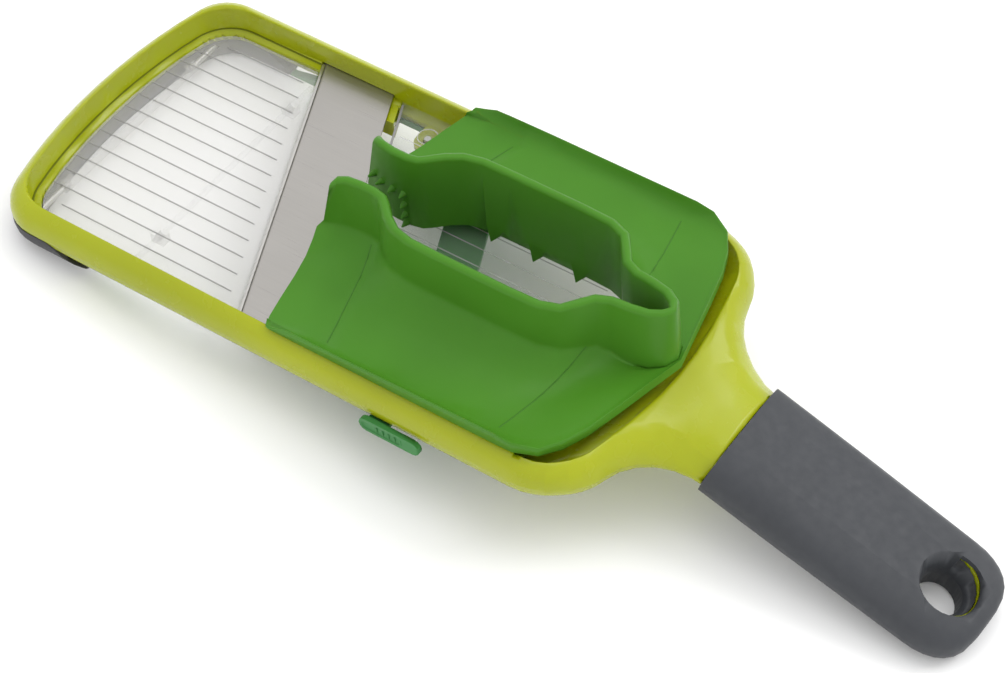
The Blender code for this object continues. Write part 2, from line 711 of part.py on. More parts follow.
def build_runway(material):
    top = RUNWAY_TOP_Z
    plate = extrude_outline("runway_plate", runway_outline(), top - PLATE_THICK, top)
    join(plate, rod("barrel", HINGE + Vector((0, -36 * MM, 0)), HINGE + Vector((0, 36 * MM, 0)), BARREL_RADIUS))
    join(plate, block("web", (HINGE.x - 1.2 * MM, -31 * MM, HINGE.z), (HINGE.x + 1.2 * MM, 31 * MM, top - 1 * MM)))
    for side in (-1.0, 1.0):
        join(plate, block("bearing", (ROD_X - 2.6 * MM, 36 * MM * side - 2 * MM, ROD_Z - 2.3 * MM),
                          (ROD_X + 2.6 * MM, 36 * MM * side + 2 * MM, top - 0.5 * MM)))
        cut(plate, hinge_bore("bore", side, 1.4 * MM))
    cut(plate, rod("rod_hole", (ROD_X, -0.05, ROD_Z), (ROD_X, 0.05, ROD_Z), ROD_RADIUS + GAP, sides=16))
    for number in range(RIDGES):
        y = (number - (RIDGES - 1) / 2.0) * RIDGE_PITCH
        start = 9.5 * MM if abs(y) < 42.0 * MM else 18.5 * MM
        end = EDGE_X - RUNWAY_GAP - 5.5 * MM - SKEW * y
        ridge = side_prism("ridge", [(start, top - 0.4 * MM), (end, top - 0.4 * MM),
                                     (end - 1.5 * MM, top + 0.35 * MM), (start + 1.5 * MM, top + 0.35 * MM)], 0.45 * MM)
        ridge.data.transform(Matrix.Translation((0.0, y, 0.0)))
        join(plate, ridge)
    plate.data.transform(Matrix.Translation(-HINGE))
    plate.location = HINGE
    return add_part(plate, material)


def build_landing(material):
    plate = extrude_outline("landing_plate", landing_outline(0.0), -PLATE_THICK, 0.0)
    for x, y in landing_screw_places():
        cut(plate, rod("thread", (x, y, -5 * MM), (x, y, -0.6 * MM), 1.5 * MM, sides=12))
    return add_part(plate, material)


def build_pins(material):
    for side, name in ((-1.0, "hinge_pin_near"), (1.0, "hinge_pin_far")):
        pin = rod(name, HINGE + Vector((0, 33.6 * MM * side, 0)), HINGE + Vector((0, 55.3 * MM * side, 0)),
                  1.1 * MM, sides=16)
        add_part(pin, material)


# ---------------------------------------------------------------- adjuster

def side_block(low, high, side):
    """A box given for the far side, or its mirror image on the near side."""
    ends = sorted((low[1] * side, high[1] * side))
    return block("side_block", (low[0], ends[0], low[2]), (high[0], ends[1], high[2]))


def build_slide(material):
    """Two arms with ramps under the ledges, and a skewed bar between them under the landing plate."""
    rest_z = ROD_Z - ROD_RADIUS - GAP
    low_z = rest_z - RAMP_DROP
    ramp = [(ROD_X - SLIDE_TRAVEL - 1.6 * MM, low_z - 0.9 * MM), (ROD_X - SLIDE_TRAVEL - 1.6 * MM, low_z),
            (ROD_X - SLIDE_TRAVEL, low_z), (ROD_X, rest_z), (ROD_X + 5 * MM, rest_z), (ROD_X + 8 * MM, ARM_TOP_Z),
            (171 * MM, ARM_TOP_Z), (171 * MM, ARM_LOW_Z), (ROD_X + 14 * MM, ARM_LOW_Z), (ROD_X + 8 * MM, low_z - 0.9 * MM)]
    slide = extrude_outline("adjuster_slide", skewed_outline(BAR_X - BAR_LENGTH / 2, BAR_X + BAR_LENGTH / 2,
                                                             51.6 * MM), -4.6 * MM, -2.8 * MM)
    for side in (-1.0, 1.0):
        arm = side_prism("arm", list(reversed(ramp)), (ARM_OUT - ARM_IN) / 2.0)
        arm.data.transform(Matrix.Translation((0.0, (ARM_OUT + ARM_IN) / 2.0 * side, 0.0)))
        join(slide, arm)
        centre = BAR_X - SKEW * 50.6 * MM * side
        join(slide, side_block((centre - 6 * MM, 49.4 * MM, -6.6 * MM), (centre + 6 * MM, 51.6 * MM, -3.0 * MM), side))
        join(slide, side_block((centre - 6 * MM, 49.4 * MM, -6.8 * MM), (centre + 6 * MM, 53.6 * MM, -5.2 * MM), side))
    join(slide, side_block((NECK_X - 7 * MM, 55.0 * MM, -6.6 * MM), (NECK_X + 7 * MM, 58.4 * MM, -5.05 * MM), 1.0))
    join(slide, side_block((NECK_X - 4 * MM, 55.0 * MM, -6.0 * MM), (NECK_X + 4 * MM, 62.9 * MM, -4.8 * MM), -1.0))
    rack = side_block((157 * MM, ARM_IN, -9.0 * MM), (170.6 * MM, ARM_OUT - 0.1 * MM, ARM_LOW_Z + 0.4 * MM), -1.0)
    for notch in (160.5, 164.5, 168.5):
        x = notch * MM
        cut(rack, rod("notch", (x, -ARM_IN, -9.6 * MM), (x, -ARM_IN, ARM_LOW_Z - 0.3 * MM), 1.0 * MM, sides=12))
    join(slide, rack)
    return add_part(slide, material)


def build_tab(material):
    """A pill-shaped finger tab, dished on its outer face."""
    half = TAB_LENGTH / 2.0
    radius = 2.8 * MM
    points = arc((TAB_X + half - radius, -5.2 * MM), radius, -90.0, 90.0, 6)
    points += arc((TAB_X - half + radius, -5.2 * MM), radius, 90.0, 270.0, 6)
    tab = side_prism("adjuster_tab", points, 0.95 * MM)
    tab.data.transform(Matrix.Translation((0.0, -63.3 * MM, 0.0)))
    pocket = block("neck_pocket", (NECK_X - 4.3 * MM, -63.2 * MM, -6.3 * MM), (NECK_X + 4.3 * MM, -60.0 * MM, -4.5 * MM))
    cut(tab, pocket)
    dish = side_prism("dish", arc((TAB_X + 3 * MM, -5.2 * MM), 1.7 * MM, -90, 90, 5)
                      + arc((TAB_X - half + radius, -5.2 * MM), 1.7 * MM, 90, 270, 5), 0.6 * MM)
    dish.data.transform(Matrix.Translation((0.0, -64.6 * MM, 0.0)))
    cut(tab, dish)
    return add_part(tab, material)


def build_spring(material):
    """A leaf spring on the rear floor whose tip faces the slide's notches."""
    x, y = SPRING_SCREW
    points = [(x + 4 * MM, y - 4 * MM), (x + 4 * MM, y + 4 * MM), (x - 5 * MM, y + 3 * MM),
              (179.5 * MM, -49.6 * MM), (167.2 * MM, -49.9 * MM), (163.9 * MM, -52.2 * MM),
              (164.5 * MM, -52.7 * MM), (167.5 * MM, -50.9 * MM), (180.2 * MM, -50.6 * MM),
              (x - 4 * MM, y - 4 * MM)]
    leaf = extrude_outline("detent_spring", points, -8.4 * MM, -7.9 * MM)
    cut(leaf, rod("hole", (x, y, -10 * MM), (x, y, -5 * MM), 1.5 * MM, sides=16))
    return add_part(leaf, material)


# ---------------------------------------------------------------- food grip

def grip_path():
    """The slot wall's middle line on one side, from the ear's front to the tail, in millimetres."""
    return [(111.2, 12.6), (113.0, 10.9), (116.0, 9.6), (121.0, 9.0), (126.6, 9.0), (130.2, 9.8), (132.2, 11.4),
            (136.8, 15.8), (142.0, 19.2), (149.0, 20.8), (160.0, 21.0), (174.0, 21.0), (188.0, 21.0), (199.0, 20.6),
            (205.6, 18.2), (209.4, 13.2), (212.6, 9.0), (217.6, 6.9), (224.0, 6.4), (230.0, 5.3), (233.8, 3.0)]


def grip_edge():
    """The wing's outer edge, one point for each point of the path, in millimetres."""
    edge = [(117.3, 58.6), (118.6, 59.0), (121.5, 59.0), (126.0, 59.0), (132.0, 59.0), (138.6, 59.0), (140.6, 59.0),
            (144.5, 59.0), (149.0, 59.0), (155.0, 58.9), (164.0, 58.8), (176.0, 58.7), (188.0, 58.6),
            (199.0, 58.5), (207.0, 58.4)]
    edge += arc((211.0, 43.0), 15.4, 80.0, 18.0, 2)
    edge += [(229.2, 39.0), (232.6, 25.0), (236.6, 7.6)]
    return edge


def wing_height(place, from_wall, from_rim, base_z, rim_z):
    """The wing's upper surface in millimetres: a floor with a step and a rise, swept up to wall and rim."""
    crease = 126.8 + 0.2 * max(place.y - 10.0, 0.0) + 0.0025 * max(place.y - 20.0, 0.0) ** 2
    floor = 8.7 + 1.5 * smooth_step((place.x - crease) / 2.6)
    floor += 2.2 * smooth_step((place.x - 213.0 + 0.19 * place.y) / 22.0)
    wall = max(0.0, 1.0 - from_wall / 19.0) ** 2.3
    rim = max(0.0, 1.0 - from_rim / 6.5) ** 1.8
    return max(floor + (base_z - floor) * wall, floor + (rim_z - floor) * rim)


def grip_front(place, z):
    """How far forward the grip's leading edge reaches at a height and a distance out."""
    if z > 8.0 and place.y < 16.0:
        return 105.3 + 7.0 * smooth_step((z - 7.0) / 24.0) ** 0.8
    return 105.6 + 0.2 * (place.y - 11.0) + 2.2 * max(0.0, (place.y - 50.0) / 8.6) ** 2


def grip_ring(index, path, edge, mirror):
    """One closed section of the grip, across the slot wall and out over the wing to its rim."""
    here = Vector(path[index])
    before = Vector(path[max(index - 1, 0)])
    after = Vector(path[index + 1]) if index + 1 < len(path) else here + Vector((0.0, -4.0))
    along = (after - before).normalized()
    normal = Vector((-along.y, along.x))
    if index == 0:
        normal = Vector((0.25, 0.97))
    if index == len(path) - 1:
        normal = Vector((0.75, 0.66))
    inner = here - normal * GRIP_WALL / 2.0
    outer = here + normal * GRIP_WALL / 2.0
    tail = smooth_step((here.x - 200.0) / 30.0)
    base = here + normal * (GRIP_WALL / 2.0 + 0.7)
    rim = Vector(edge[index])
    reach = (base - rim).length
    inward = (base - rim) / reach
    base_z = 16.5 + 3.6 * smooth_step((here.x - 128.0) / 16.0) - 9.0 * tail
    rear = smooth_step((rim.x - 207.0) / 18.0)
    rim_z = 11.6 + 3.0 * smooth_step((rim.x - 117.5) / 10.0) + 0.013 * (rim.x - 118.0) - 3.2 * rear
    corner = smooth_step((56.5 - rim.y) / 4.0)
    seat_z = 10.7 - 1.7 * corner
    skirt_z = 6.2 + 2.8 * rear
    low_z = 4.3 + 5.3 * smooth_step((here.x - 203.0) / 14.0)
    top = GRIP_TOP - (2.6, 0.6)[index] if index < 2 else GRIP_TOP
    points = [(inner, low_z), (inner, 14.0), (inner, top - 1.5), (inner.lerp(outer, 0.2), top - 0.35),
              (inner.lerp(outer, 0.5), top), (inner.lerp(outer, 0.8), top - 0.35), (outer, top - 1.5), (base, base_z)]
    under = []
    for share in (0.05, 0.13, 0.26, 0.45, 0.68, 0.86):
        place = base - inward * reach * share
        z = wing_height(place, reach * share, reach * (1.0 - share), base_z, rim_z)
        points.append((place, z))
        if share < 0.8:
            under.append((place, max(z - 2.5, skirt_z)))
    step = min(1.0, reach / 12.0)
    points += [(rim + inward * 2.2 * step, floor_between(points[-1][1], rim_z, 0.42)),
               (rim + inward * 0.9 * step, floor_between(points[-1][1], rim_z, 0.86)),
               (rim + inward * 0.2 * step, rim_z), (rim, rim_z - 0.8), (rim, seat_z)]
    points += [(rim + inward * 3.2 * step, seat_z), (rim + inward * 3.2 * step, skirt_z),
               (rim + inward * 5.0 * step, skirt_z), (rim + inward * 5.2 * step, under[-1][1])]
    points += reversed(under)
    points.append((outer, low_z))
    ring = []
    for place, z in points:
        x = place.x
        if index == 0:
            x = min(grip_front(place, z), x)
        ring.append((x * MM, place.y * mirror * MM, z * MM))
    return ring


def floor_between(low, high, share):
    return low + (high - low) * share


# Faces that close the wing's front, as indices round its section
GRIP_CAPS = [(0, 1, 27, 28), (1, 2, 6, 7), (2, 3, 5, 6), (3, 4, 5), (1, 7, 8, 27), (8, 9, 26, 27), (9, 10, 25, 26),
             (10, 11, 24, 25), (11, 12, 23, 24), (12, 13, 22, 23), (13, 14, 19, 22), (19, 20, 21, 22),
             (14, 15, 16, 17), (14, 17, 18, 19)]


def grip_tooth(x, side):
    """A pointed tooth on the slot's lower inner edge."""
    y = 19.4 * MM * side
    base = [(-4.5, 0.8, 8.5), (4.5, 0.8, 8.5), (3.0, 0.8, 4.6), (-3.0, 0.8, 4.6)]
    bm = bmesh.new()
    verts = [bm.verts.new((x + px * MM, y + py * MM * side, pz * MM)) for px, py, pz in base]
    tip = bm.verts.new((x + 1.0 * MM, y - 4.2 * MM * side, 4.4 * MM))
    bm.faces.new(verts)
    for i in range(4):
        bm.faces.new((verts[i], verts[(i + 1) % 4], tip))
    return object_from(bm, "tooth")


def build_grip(material):
    path = grip_path()
    edge = grip_edge()
    rings = [grip_ring(i, path, edge, 1.0) for i in range(len(path))]
    tail = [(x + 1.7 * MM, 0.0, z) for x, y, z in rings[-1]]
    mirrored = [grip_ring(i, path, edge, -1.0) for i in reversed(range(len(path)))]
    grip = loft("food_grip", rings + [tail] + mirrored, GRIP_CAPS, GRIP_CAPS)
    for number in range(3):
        for side in (-1.0, 1.0):
            join(grip, grip_tooth((152.5 + 17.0 * number) * MM, side))
    return add_part(grip, material)


# ---------------------------------------------------------------- assembly

def stand_on_table():
    """Tilt the body on to its contacts and put the middle of its footprint at the origin."""
    BODY.rotation_euler = (0.0, -table_tilt(), 0.0)
    bpy.context.view_layer.update()
    corners = []
    for obj in PARTS.objects:
        corners += [obj.matrix_world @ vert.co for vert in obj.data.vertices]
    low = Vector([min(c[i] for c in corners) for i in range(3)])
    high = Vector([max(c[i] for c in corners) for i in range(3)])
    BODY.location = (-(low.x + high.x) / 2.0, -(low.y + high.y) / 2.0, -low.z)
    bpy.context.view_layer.update()


def build_slicer():
    lime = make_material("lime_plastic", (0.42, 0.48, 0.02), 0.18)
    grey = make_material("soft_grey", (0.09, 0.095, 0.105), 0.62)
    rubber = make_material("foot_rubber", (0.07, 0.07, 0.075), 0.75)
    steel = make_material("satin_steel", (0.55, 0.54, 0.52), 0.35, 1.0)
    clear = make_material("clear_plastic", (0.92, 0.92, 0.91), 0.08, 0.0, 0.45)
    green = make_material("green_plastic", (0.11, 0.28, 0.03), 0.3)
    dark_green = make_material("dark_green_plastic", (0.04, 0.2, 0.05), 0.3)
    zinc = make_material("zinc_screw", (0.6, 0.6, 0.62), 0.3, 1.0)
    build_frame(lime)
    build_sleeve(grey)
    build_foot(rubber)
    build_blade(steel)
    build_screws(blade_screw_places(), "blade_screw", BASE_Z - 0.1 * MM, -0.9 * MM, zinc)
    build_screws(landing_screw_places(), "landing_screw", -5.2 * MM, -0.9 * MM, zinc)
    build_screws([SPRING_SCREW], "spring_screw", -8.8 * MM, -4.2 * MM, zinc)
    build_runway(clear)
    build_landing(clear)
    build_pins(steel)
    lift = rod("lift_rod", (ROD_X, -55.6 * MM, ROD_Z), (ROD_X, 55.6 * MM, ROD_Z), ROD_RADIUS, sides=16)
    add_part(lift, steel)
    build_slide(dark_green)
    build_tab(dark_green)
    build_spring(steel)
    build_grip(green)


clear_scene()
PARTS = new_collection("mandoline_slicer")
CUTTERS = new_collection("cutters")
BODY = bpy.data.objects.new("slicer_body", None)
PARTS.objects.link(BODY)
build_slicer()
PARTS.objects.unlink(BODY)
CUTTERS.objects.link(BODY)
stand_on_table()
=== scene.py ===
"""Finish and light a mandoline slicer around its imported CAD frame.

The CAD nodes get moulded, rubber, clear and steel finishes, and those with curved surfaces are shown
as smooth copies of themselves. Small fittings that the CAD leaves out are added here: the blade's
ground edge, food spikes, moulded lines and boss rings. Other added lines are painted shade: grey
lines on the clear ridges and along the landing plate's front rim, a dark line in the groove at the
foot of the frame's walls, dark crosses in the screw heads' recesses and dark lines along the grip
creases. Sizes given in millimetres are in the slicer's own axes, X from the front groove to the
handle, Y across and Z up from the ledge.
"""

import logging
import math
from dataclasses import dataclass, field
from enum import Enum
from typing import Callable, Dict, List, Sequence, Tuple

import bmesh
import bpy
from mathutils import Matrix, Vector
from mathutils.bvhtree import BVHTree

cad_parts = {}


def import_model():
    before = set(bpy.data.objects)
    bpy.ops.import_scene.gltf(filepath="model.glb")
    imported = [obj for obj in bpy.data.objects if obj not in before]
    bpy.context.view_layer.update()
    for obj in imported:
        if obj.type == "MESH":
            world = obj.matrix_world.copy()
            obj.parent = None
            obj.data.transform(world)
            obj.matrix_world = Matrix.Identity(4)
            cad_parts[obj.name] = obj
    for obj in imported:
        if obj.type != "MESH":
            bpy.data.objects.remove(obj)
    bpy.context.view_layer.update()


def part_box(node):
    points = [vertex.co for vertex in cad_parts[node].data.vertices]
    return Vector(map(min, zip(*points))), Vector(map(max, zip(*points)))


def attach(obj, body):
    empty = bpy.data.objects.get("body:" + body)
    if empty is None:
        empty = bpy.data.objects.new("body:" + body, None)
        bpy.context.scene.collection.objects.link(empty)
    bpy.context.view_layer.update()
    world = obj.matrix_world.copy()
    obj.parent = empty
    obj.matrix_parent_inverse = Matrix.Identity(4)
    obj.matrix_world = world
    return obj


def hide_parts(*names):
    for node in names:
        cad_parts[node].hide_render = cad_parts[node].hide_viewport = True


LOG = logging.getLogger("slicer")
MM = 0.001
FLAT_ANGLE = 0.6  # degrees between two faces that count as one
BAR_LIFT = 0.00001  # keeps a recess's two crossed bars from lying in one plane
SKEW = 0.44  # how far the blade and what lies along it fall back for each millimetre across

Colour = Tuple[float, float, float]
Point = Tuple[float, float, float]


class Side(Enum):
    """The two long sides of the slicer."""

    NEAR = -1.0
    FAR = 1.0


class Body(Enum):
    """The bodies that pieces ride on."""

    FRAME = "frame_body"
    RUNWAY = "runway"
    ADJUSTER = "adjuster"
    GRIP = "grip"


@dataclass(frozen=True)
class SlicerAxes:
    """Where the slicer's own axes lie while it stands on its foot and handle."""

    tilt: float = math.radians(6.63)
    pin_centre: Point = (8.5, -44.45, -5.6)

    def turn(self) -> Matrix:
        """The turn from the slicer's axes to the table's."""
        return Matrix.Rotation(-self.tilt, 4, "Y")

    def origin(self) -> Vector:
        """The groove's middle on the table, found from the near hinge pin."""
        low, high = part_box("hinge_pin_near")
        return (low + high) / 2.0 - self.turn() @ (Vector(self.pin_centre) * MM)

    def matrix(self) -> Matrix:
        """The whole move from the slicer's axes to the table's."""
        return Matrix.Translation(self.origin()) @ self.turn()


# ---------------------------------------------------------------- finishes

class Nodes:
    """A short way to lay out one material's nodes."""

    def __init__(self, name: str) -> None:
        """Start a material that holds only its shader and output.

        Args:
            name: the material's name.
        """
        self.material = bpy.data.materials.new(name)
        self.material.use_nodes = True
        self.tree = self.material.node_tree
        self.shader = self.tree.nodes["Principled BSDF"]

    def add(self, kind: str, **values: object) -> bpy.types.Node:
        """Add a node and set its properties.

        Args:
            kind: the node's type name.
            values: properties to set on it.

        Returns:
            The new node.
        """
        node = self.tree.nodes.new(kind)
        for key, value in values.items():
            setattr(node, key, value)
        return node

    def link(self, source: bpy.types.NodeSocket, target: bpy.types.NodeSocket) -> None:
        """Join two sockets.

        Args:
            source: an output.
            target: the input that it feeds.
        """
        self.tree.links.new(source, target)

    def place(self, scale: Sequence[float] = (1.0, 1.0, 1.0)) -> bpy.types.NodeSocket:
        """Object coordinates, stretched along each axis.

        Args:
            scale: stretch along each axis.

        Returns:
            The vector socket to read patterns from.
        """
        coords = self.add("ShaderNodeTexCoord")
        mapping = self.add("ShaderNodeMapping")
        mapping.inputs["Scale"].default_value = tuple(scale)
        self.link(coords.outputs["Object"], mapping.inputs["Vector"])
        return mapping.outputs["Vector"]

    def noise(self, vector: bpy.types.NodeSocket, scale: float,
              detail: float = 3.0) -> bpy.types.NodeSocket:
        """A noise pattern's strength.

        Args:
            vector: where the pattern is read.
            scale: waves per metre.
            detail: octaves.

        Returns:
            The factor socket.
        """
        noise = self.add("ShaderNodeTexNoise")
        noise.inputs["Scale"].default_value = scale
        noise.inputs["Detail"].default_value = detail
        self.link(vector, noise.inputs["Vector"])
        return noise.outputs["Fac"]

    def spread(self, factor: bpy.types.NodeSocket, low: float, high: float) -> bpy.types.NodeSocket:
        """A pattern's strength moved to a range.

        Args:
            factor: a pattern from 0 to 1.
            low: its lowest result.
            high: its highest result.

        Returns:
            The result socket.
        """
        ranged = self.add("ShaderNodeMapRange")
        ranged.inputs["From Min"].default_value = 0.3
        ranged.inputs["From Max"].default_value = 0.7
        ranged.inputs["To Min"].default_value = low
        ranged.inputs["To Max"].default_value = high
        self.link(factor, ranged.inputs["Value"])
        return ranged.outputs["Result"]

    def tint(self, factor: bpy.types.NodeSocket, dark: Colour, light: Colour) -> bpy.types.NodeSocket:
        """A pattern painted between two colours.

        Args:
            factor: a pattern from 0 to 1.
            dark: the colour at 0.
            light: the colour at 1.

        Returns:
            The colour socket.
        """
        ramp = self.add("ShaderNodeValToRGB")
        ramp.color_ramp.elements[0].position = 0.3
        ramp.color_ramp.elements[1].position = 0.7
        ramp.color_ramp.elements[0].color = (*dark, 1.0)
        ramp.color_ramp.elements[1].color = (*light, 1.0)
        self.link(factor, ramp.inputs["Fac"])
        return ramp.outputs["Color"]

    def bump(self, height: bpy.types.NodeSocket, strength: float, depth: float) -> None:
        """Raise the surface by a pattern.

        Args:
            height: the pattern.
            strength: the bump's share.
            depth: its real height in metres.
        """
        bump = self.add("ShaderNodeBump")
        bump.inputs["Strength"].default_value = strength
        bump.inputs["Distance"].default_value = depth
        self.link(height, bump.inputs["Height"])
        self.link(bump.outputs["Normal"], self.shader.inputs["Normal"])


def shaded(colour: Colour, share: float) -> Colour:
    """A colour made darker or lighter by a share.

    Args:
        colour: linear red, green and blue.
        share: what each is multiplied by.

    Returns:
        The new colour, no part above 1.
    """
    return tuple(min(part * share, 1.0) for part in colour)


@dataclass(frozen=True)
class MouldedPlastic:
    """Opaque moulded plastic: an even colour with faint flow marks and a fine skin."""

    name: str
    colour: Colour
    roughness: float
    coat: float
    gloss: float = 0.22
    skin_scale: float = 900.0
    skin_depth: float = 0.00002
    scatter: float = 0.0

    def material(self) -> bpy.types.Material:
        """Build the material."""
        nodes = Nodes(self.name)
        place = nodes.place()
        flow = nodes.noise(place, 28.0, 4.0)
        nodes.link(nodes.tint(flow, shaded(self.colour, 0.94), shaded(self.colour, 1.05)),
                   nodes.shader.inputs["Base Color"])
        worn = nodes.noise(place, 120.0, 5.0)
        nodes.link(nodes.spread(worn, self.roughness * 0.85, self.roughness * 1.2),
                   nodes.shader.inputs["Roughness"])
        nodes.bump(nodes.noise(place, self.skin_scale, 2.0), 0.25, self.skin_depth)
        nodes.shader.inputs["IOR"].default_value = 1.5
        nodes.shader.inputs["Specular IOR Level"].default_value = self.gloss
        nodes.shader.inputs["Coat Weight"].default_value = self.coat
        nodes.shader.inputs["Coat Roughness"].default_value = 0.06
        nodes.shader.inputs["Subsurface Weight"].default_value = self.scatter
        nodes.shader.inputs["Subsurface Scale"].default_value = 0.002
        return nodes.material


@dataclass(frozen=True)
class SoftTouch:
    """Rubber-like skin: matt, with a fine even grain."""

    name: str
    colour: Colour
    roughness: float = 0.6
    grain_scale: float = 2600.0

    def material(self) -> bpy.types.Material:
        """Build the material."""
        nodes = Nodes(self.name)
        place = nodes.place()
        cloud = nodes.noise(place, 35.0, 4.0)
        nodes.link(nodes.tint(cloud, shaded(self.colour, 0.93), shaded(self.colour, 1.08)),
                   nodes.shader.inputs["Base Color"])
        grain = nodes.noise(place, 300.0, 3.0)
        nodes.link(nodes.spread(grain, self.roughness - 0.05, self.roughness + 0.07),
                   nodes.shader.inputs["Roughness"])
        nodes.bump(nodes.noise(place, self.grain_scale, 2.0), 0.5, 0.00003)
        nodes.shader.inputs["Sheen Weight"].default_value = 0.03
        nodes.shader.inputs["Sheen Roughness"].default_value = 0.5
        return nodes.material


@dataclass(frozen=True)
class BrushedSteel:
    """Rolled steel with fine lines along one direction."""

    name: str
    colour: Colour
    roughness: float
    along: Tuple[float, float, float] = (12.0, 900.0, 60.0)
    line_depth: float = 0.00001

    def material(self) -> bpy.types.Material:
        """Build the material."""
        nodes = Nodes(self.name)
        lines = nodes.noise(nodes.place(self.along), 3.0, 6.0)
        cloud = nodes.noise(nodes.place(), 22.0, 3.0)
        mixed = nodes.add("ShaderNodeMath", operation="MULTIPLY_ADD")
        mixed.inputs[1].default_value = 0.5
        nodes.link(lines, mixed.inputs[0])
        half = nodes.add("ShaderNodeMath", operation="MULTIPLY")
        half.inputs[1].default_value = 0.5
        nodes.link(cloud, half.inputs[0])
        nodes.link(half.outputs["Value"], mixed.inputs[2])
        dark, light = shaded(self.colour, 0.93), shaded(self.colour, 1.06)
        nodes.link(nodes.tint(mixed.outputs["Value"], dark, light),
                   nodes.shader.inputs["Base Color"])
        nodes.link(nodes.spread(lines, self.roughness * 0.8, self.roughness * 1.2),
                   nodes.shader.inputs["Roughness"])
        nodes.bump(lines, 0.3, self.line_depth)
        nodes.shader.inputs["Metallic"].default_value = 1.0
        return nodes.material


@dataclass(frozen=True)
class ClearPlastic:
    """Clear moulded plastic, a little milky, with soft waves in its face."""

    name: str
    colour: Colour
    body: float
    roughness: float = 0.08

    def material(self) -> bpy.types.Material:
        """Build the material."""
        nodes = Nodes(self.name)
        place = nodes.place()
        cloud = nodes.noise(place, 30.0, 3.0)
        nodes.link(nodes.tint(cloud, shaded(self.colour, 0.97), shaded(self.colour, 1.02)),
                   nodes.shader.inputs["Base Color"])
        haze = nodes.noise(place, 160.0, 4.0)
        nodes.link(nodes.spread(haze, self.roughness * 0.7, self.roughness * 1.5),
                   nodes.shader.inputs["Roughness"])
        nodes.bump(nodes.noise(place, 60.0, 2.0), 0.12, 0.00006)
        nodes.shader.inputs["Alpha"].default_value = self.body
        nodes.shader.inputs["IOR"].default_value = 1.49
        return nodes.material


LIME = MouldedPlastic("lime_shell", (0.315, 0.352, 0.0035), 0.25, 0.1, 0.3, scatter=0.04)
# painted shade: a dark lime for the shaded groove at the foot of the frame's walls
LIME_GROOVE_SHADE = MouldedPlastic("lime_groove_shade", (0.13, 0.15, 0.006), 0.45, 0.0)
GREEN = MouldedPlastic("grip_green", (0.058, 0.2, 0.014), 0.36, 0.0, 0.16, 1500.0, 0.00003, 0.03)
# painted shade: a darker green for the shaded steps at the grip's creases
GREEN_CREASE_SHADE = MouldedPlastic("grip_crease_shade", (0.042, 0.152, 0.011), 0.5, 0.0)
DARK_GREEN = MouldedPlastic("adjuster_green", (0.04, 0.2, 0.05), 0.4, 0.1)
SOFT_GREY = SoftTouch("handle_grey", (0.031, 0.034, 0.040))
FOOT_GREY = SoftTouch("foot_grey", (0.042, 0.043, 0.047), 0.7, 1800.0)
STEEL = BrushedSteel("blade_steel", (0.4, 0.385, 0.365), 0.34)
EDGE_STEEL = BrushedSteel("edge_steel", (0.5, 0.49, 0.47), 0.3, (900.0, 12.0, 60.0))
SPRING_STEEL = BrushedSteel("spring_steel", (0.42, 0.41, 0.4), 0.4)
ZINC = BrushedSteel("screw_zinc", (0.56, 0.56, 0.58), 0.38, (300.0, 300.0, 300.0))
# painted shade: dark grey for the shaded cross recesses in the screw heads
RECESS_SHADE = BrushedSteel("screw_recess_shade", (0.1, 0.1, 0.11), 0.6, (300.0, 300.0, 300.0))
CLEAR = ClearPlastic("clear_plate", (0.72, 0.71, 0.7), 0.22)
CLEAR_REAR = ClearPlastic("clear_rear_plate", (0.5, 0.5, 0.48), 0.12)
CLEAR_ROD = ClearPlastic("clear_rod", (0.9, 0.9, 0.89), 0.08)
# painted shade: dark grey for the shaded lines along the clear ridges and the landing plate's front rim
CLEAR_LINE_SHADE = ClearPlastic("clear_line_shade", (0.27, 0.265, 0.26), 0.8, 0.3)
CLEAR_RIM = ClearPlastic("clear_rim", (0.62, 0.62, 0.61), 0.5, 0.2)


class FinishShelf:
    """Makes each finish once and hands it out."""

    def __init__(self) -> None:
        """Start with nothing made."""
        self.made: Dict[str, bpy.types.Material] = {}

    def get(self, finish: object) -> bpy.types.Material:
        """The finish's material, made on first use.

        Args:
            finish: one of the finishes above.

        Returns:
            Its material.
        """
        if finish.name not in self.made:
            self.made[finish.name] = finish.material()
        return self.made[finish.name]

    def dress(self, names: Sequence[str], finish: object) -> None:
        """Give CAD nodes a finish.

        Args:
            names: the nodes' names.
            finish: what they are made of.
        """
        for name in names:
            node = bpy.data.objects[name]
            node.data.materials.clear()
            node.data.materials.append(self.get(finish))
            LOG.info("dressed %s in %s", name, finish.name)


SHELF = FinishShelf()


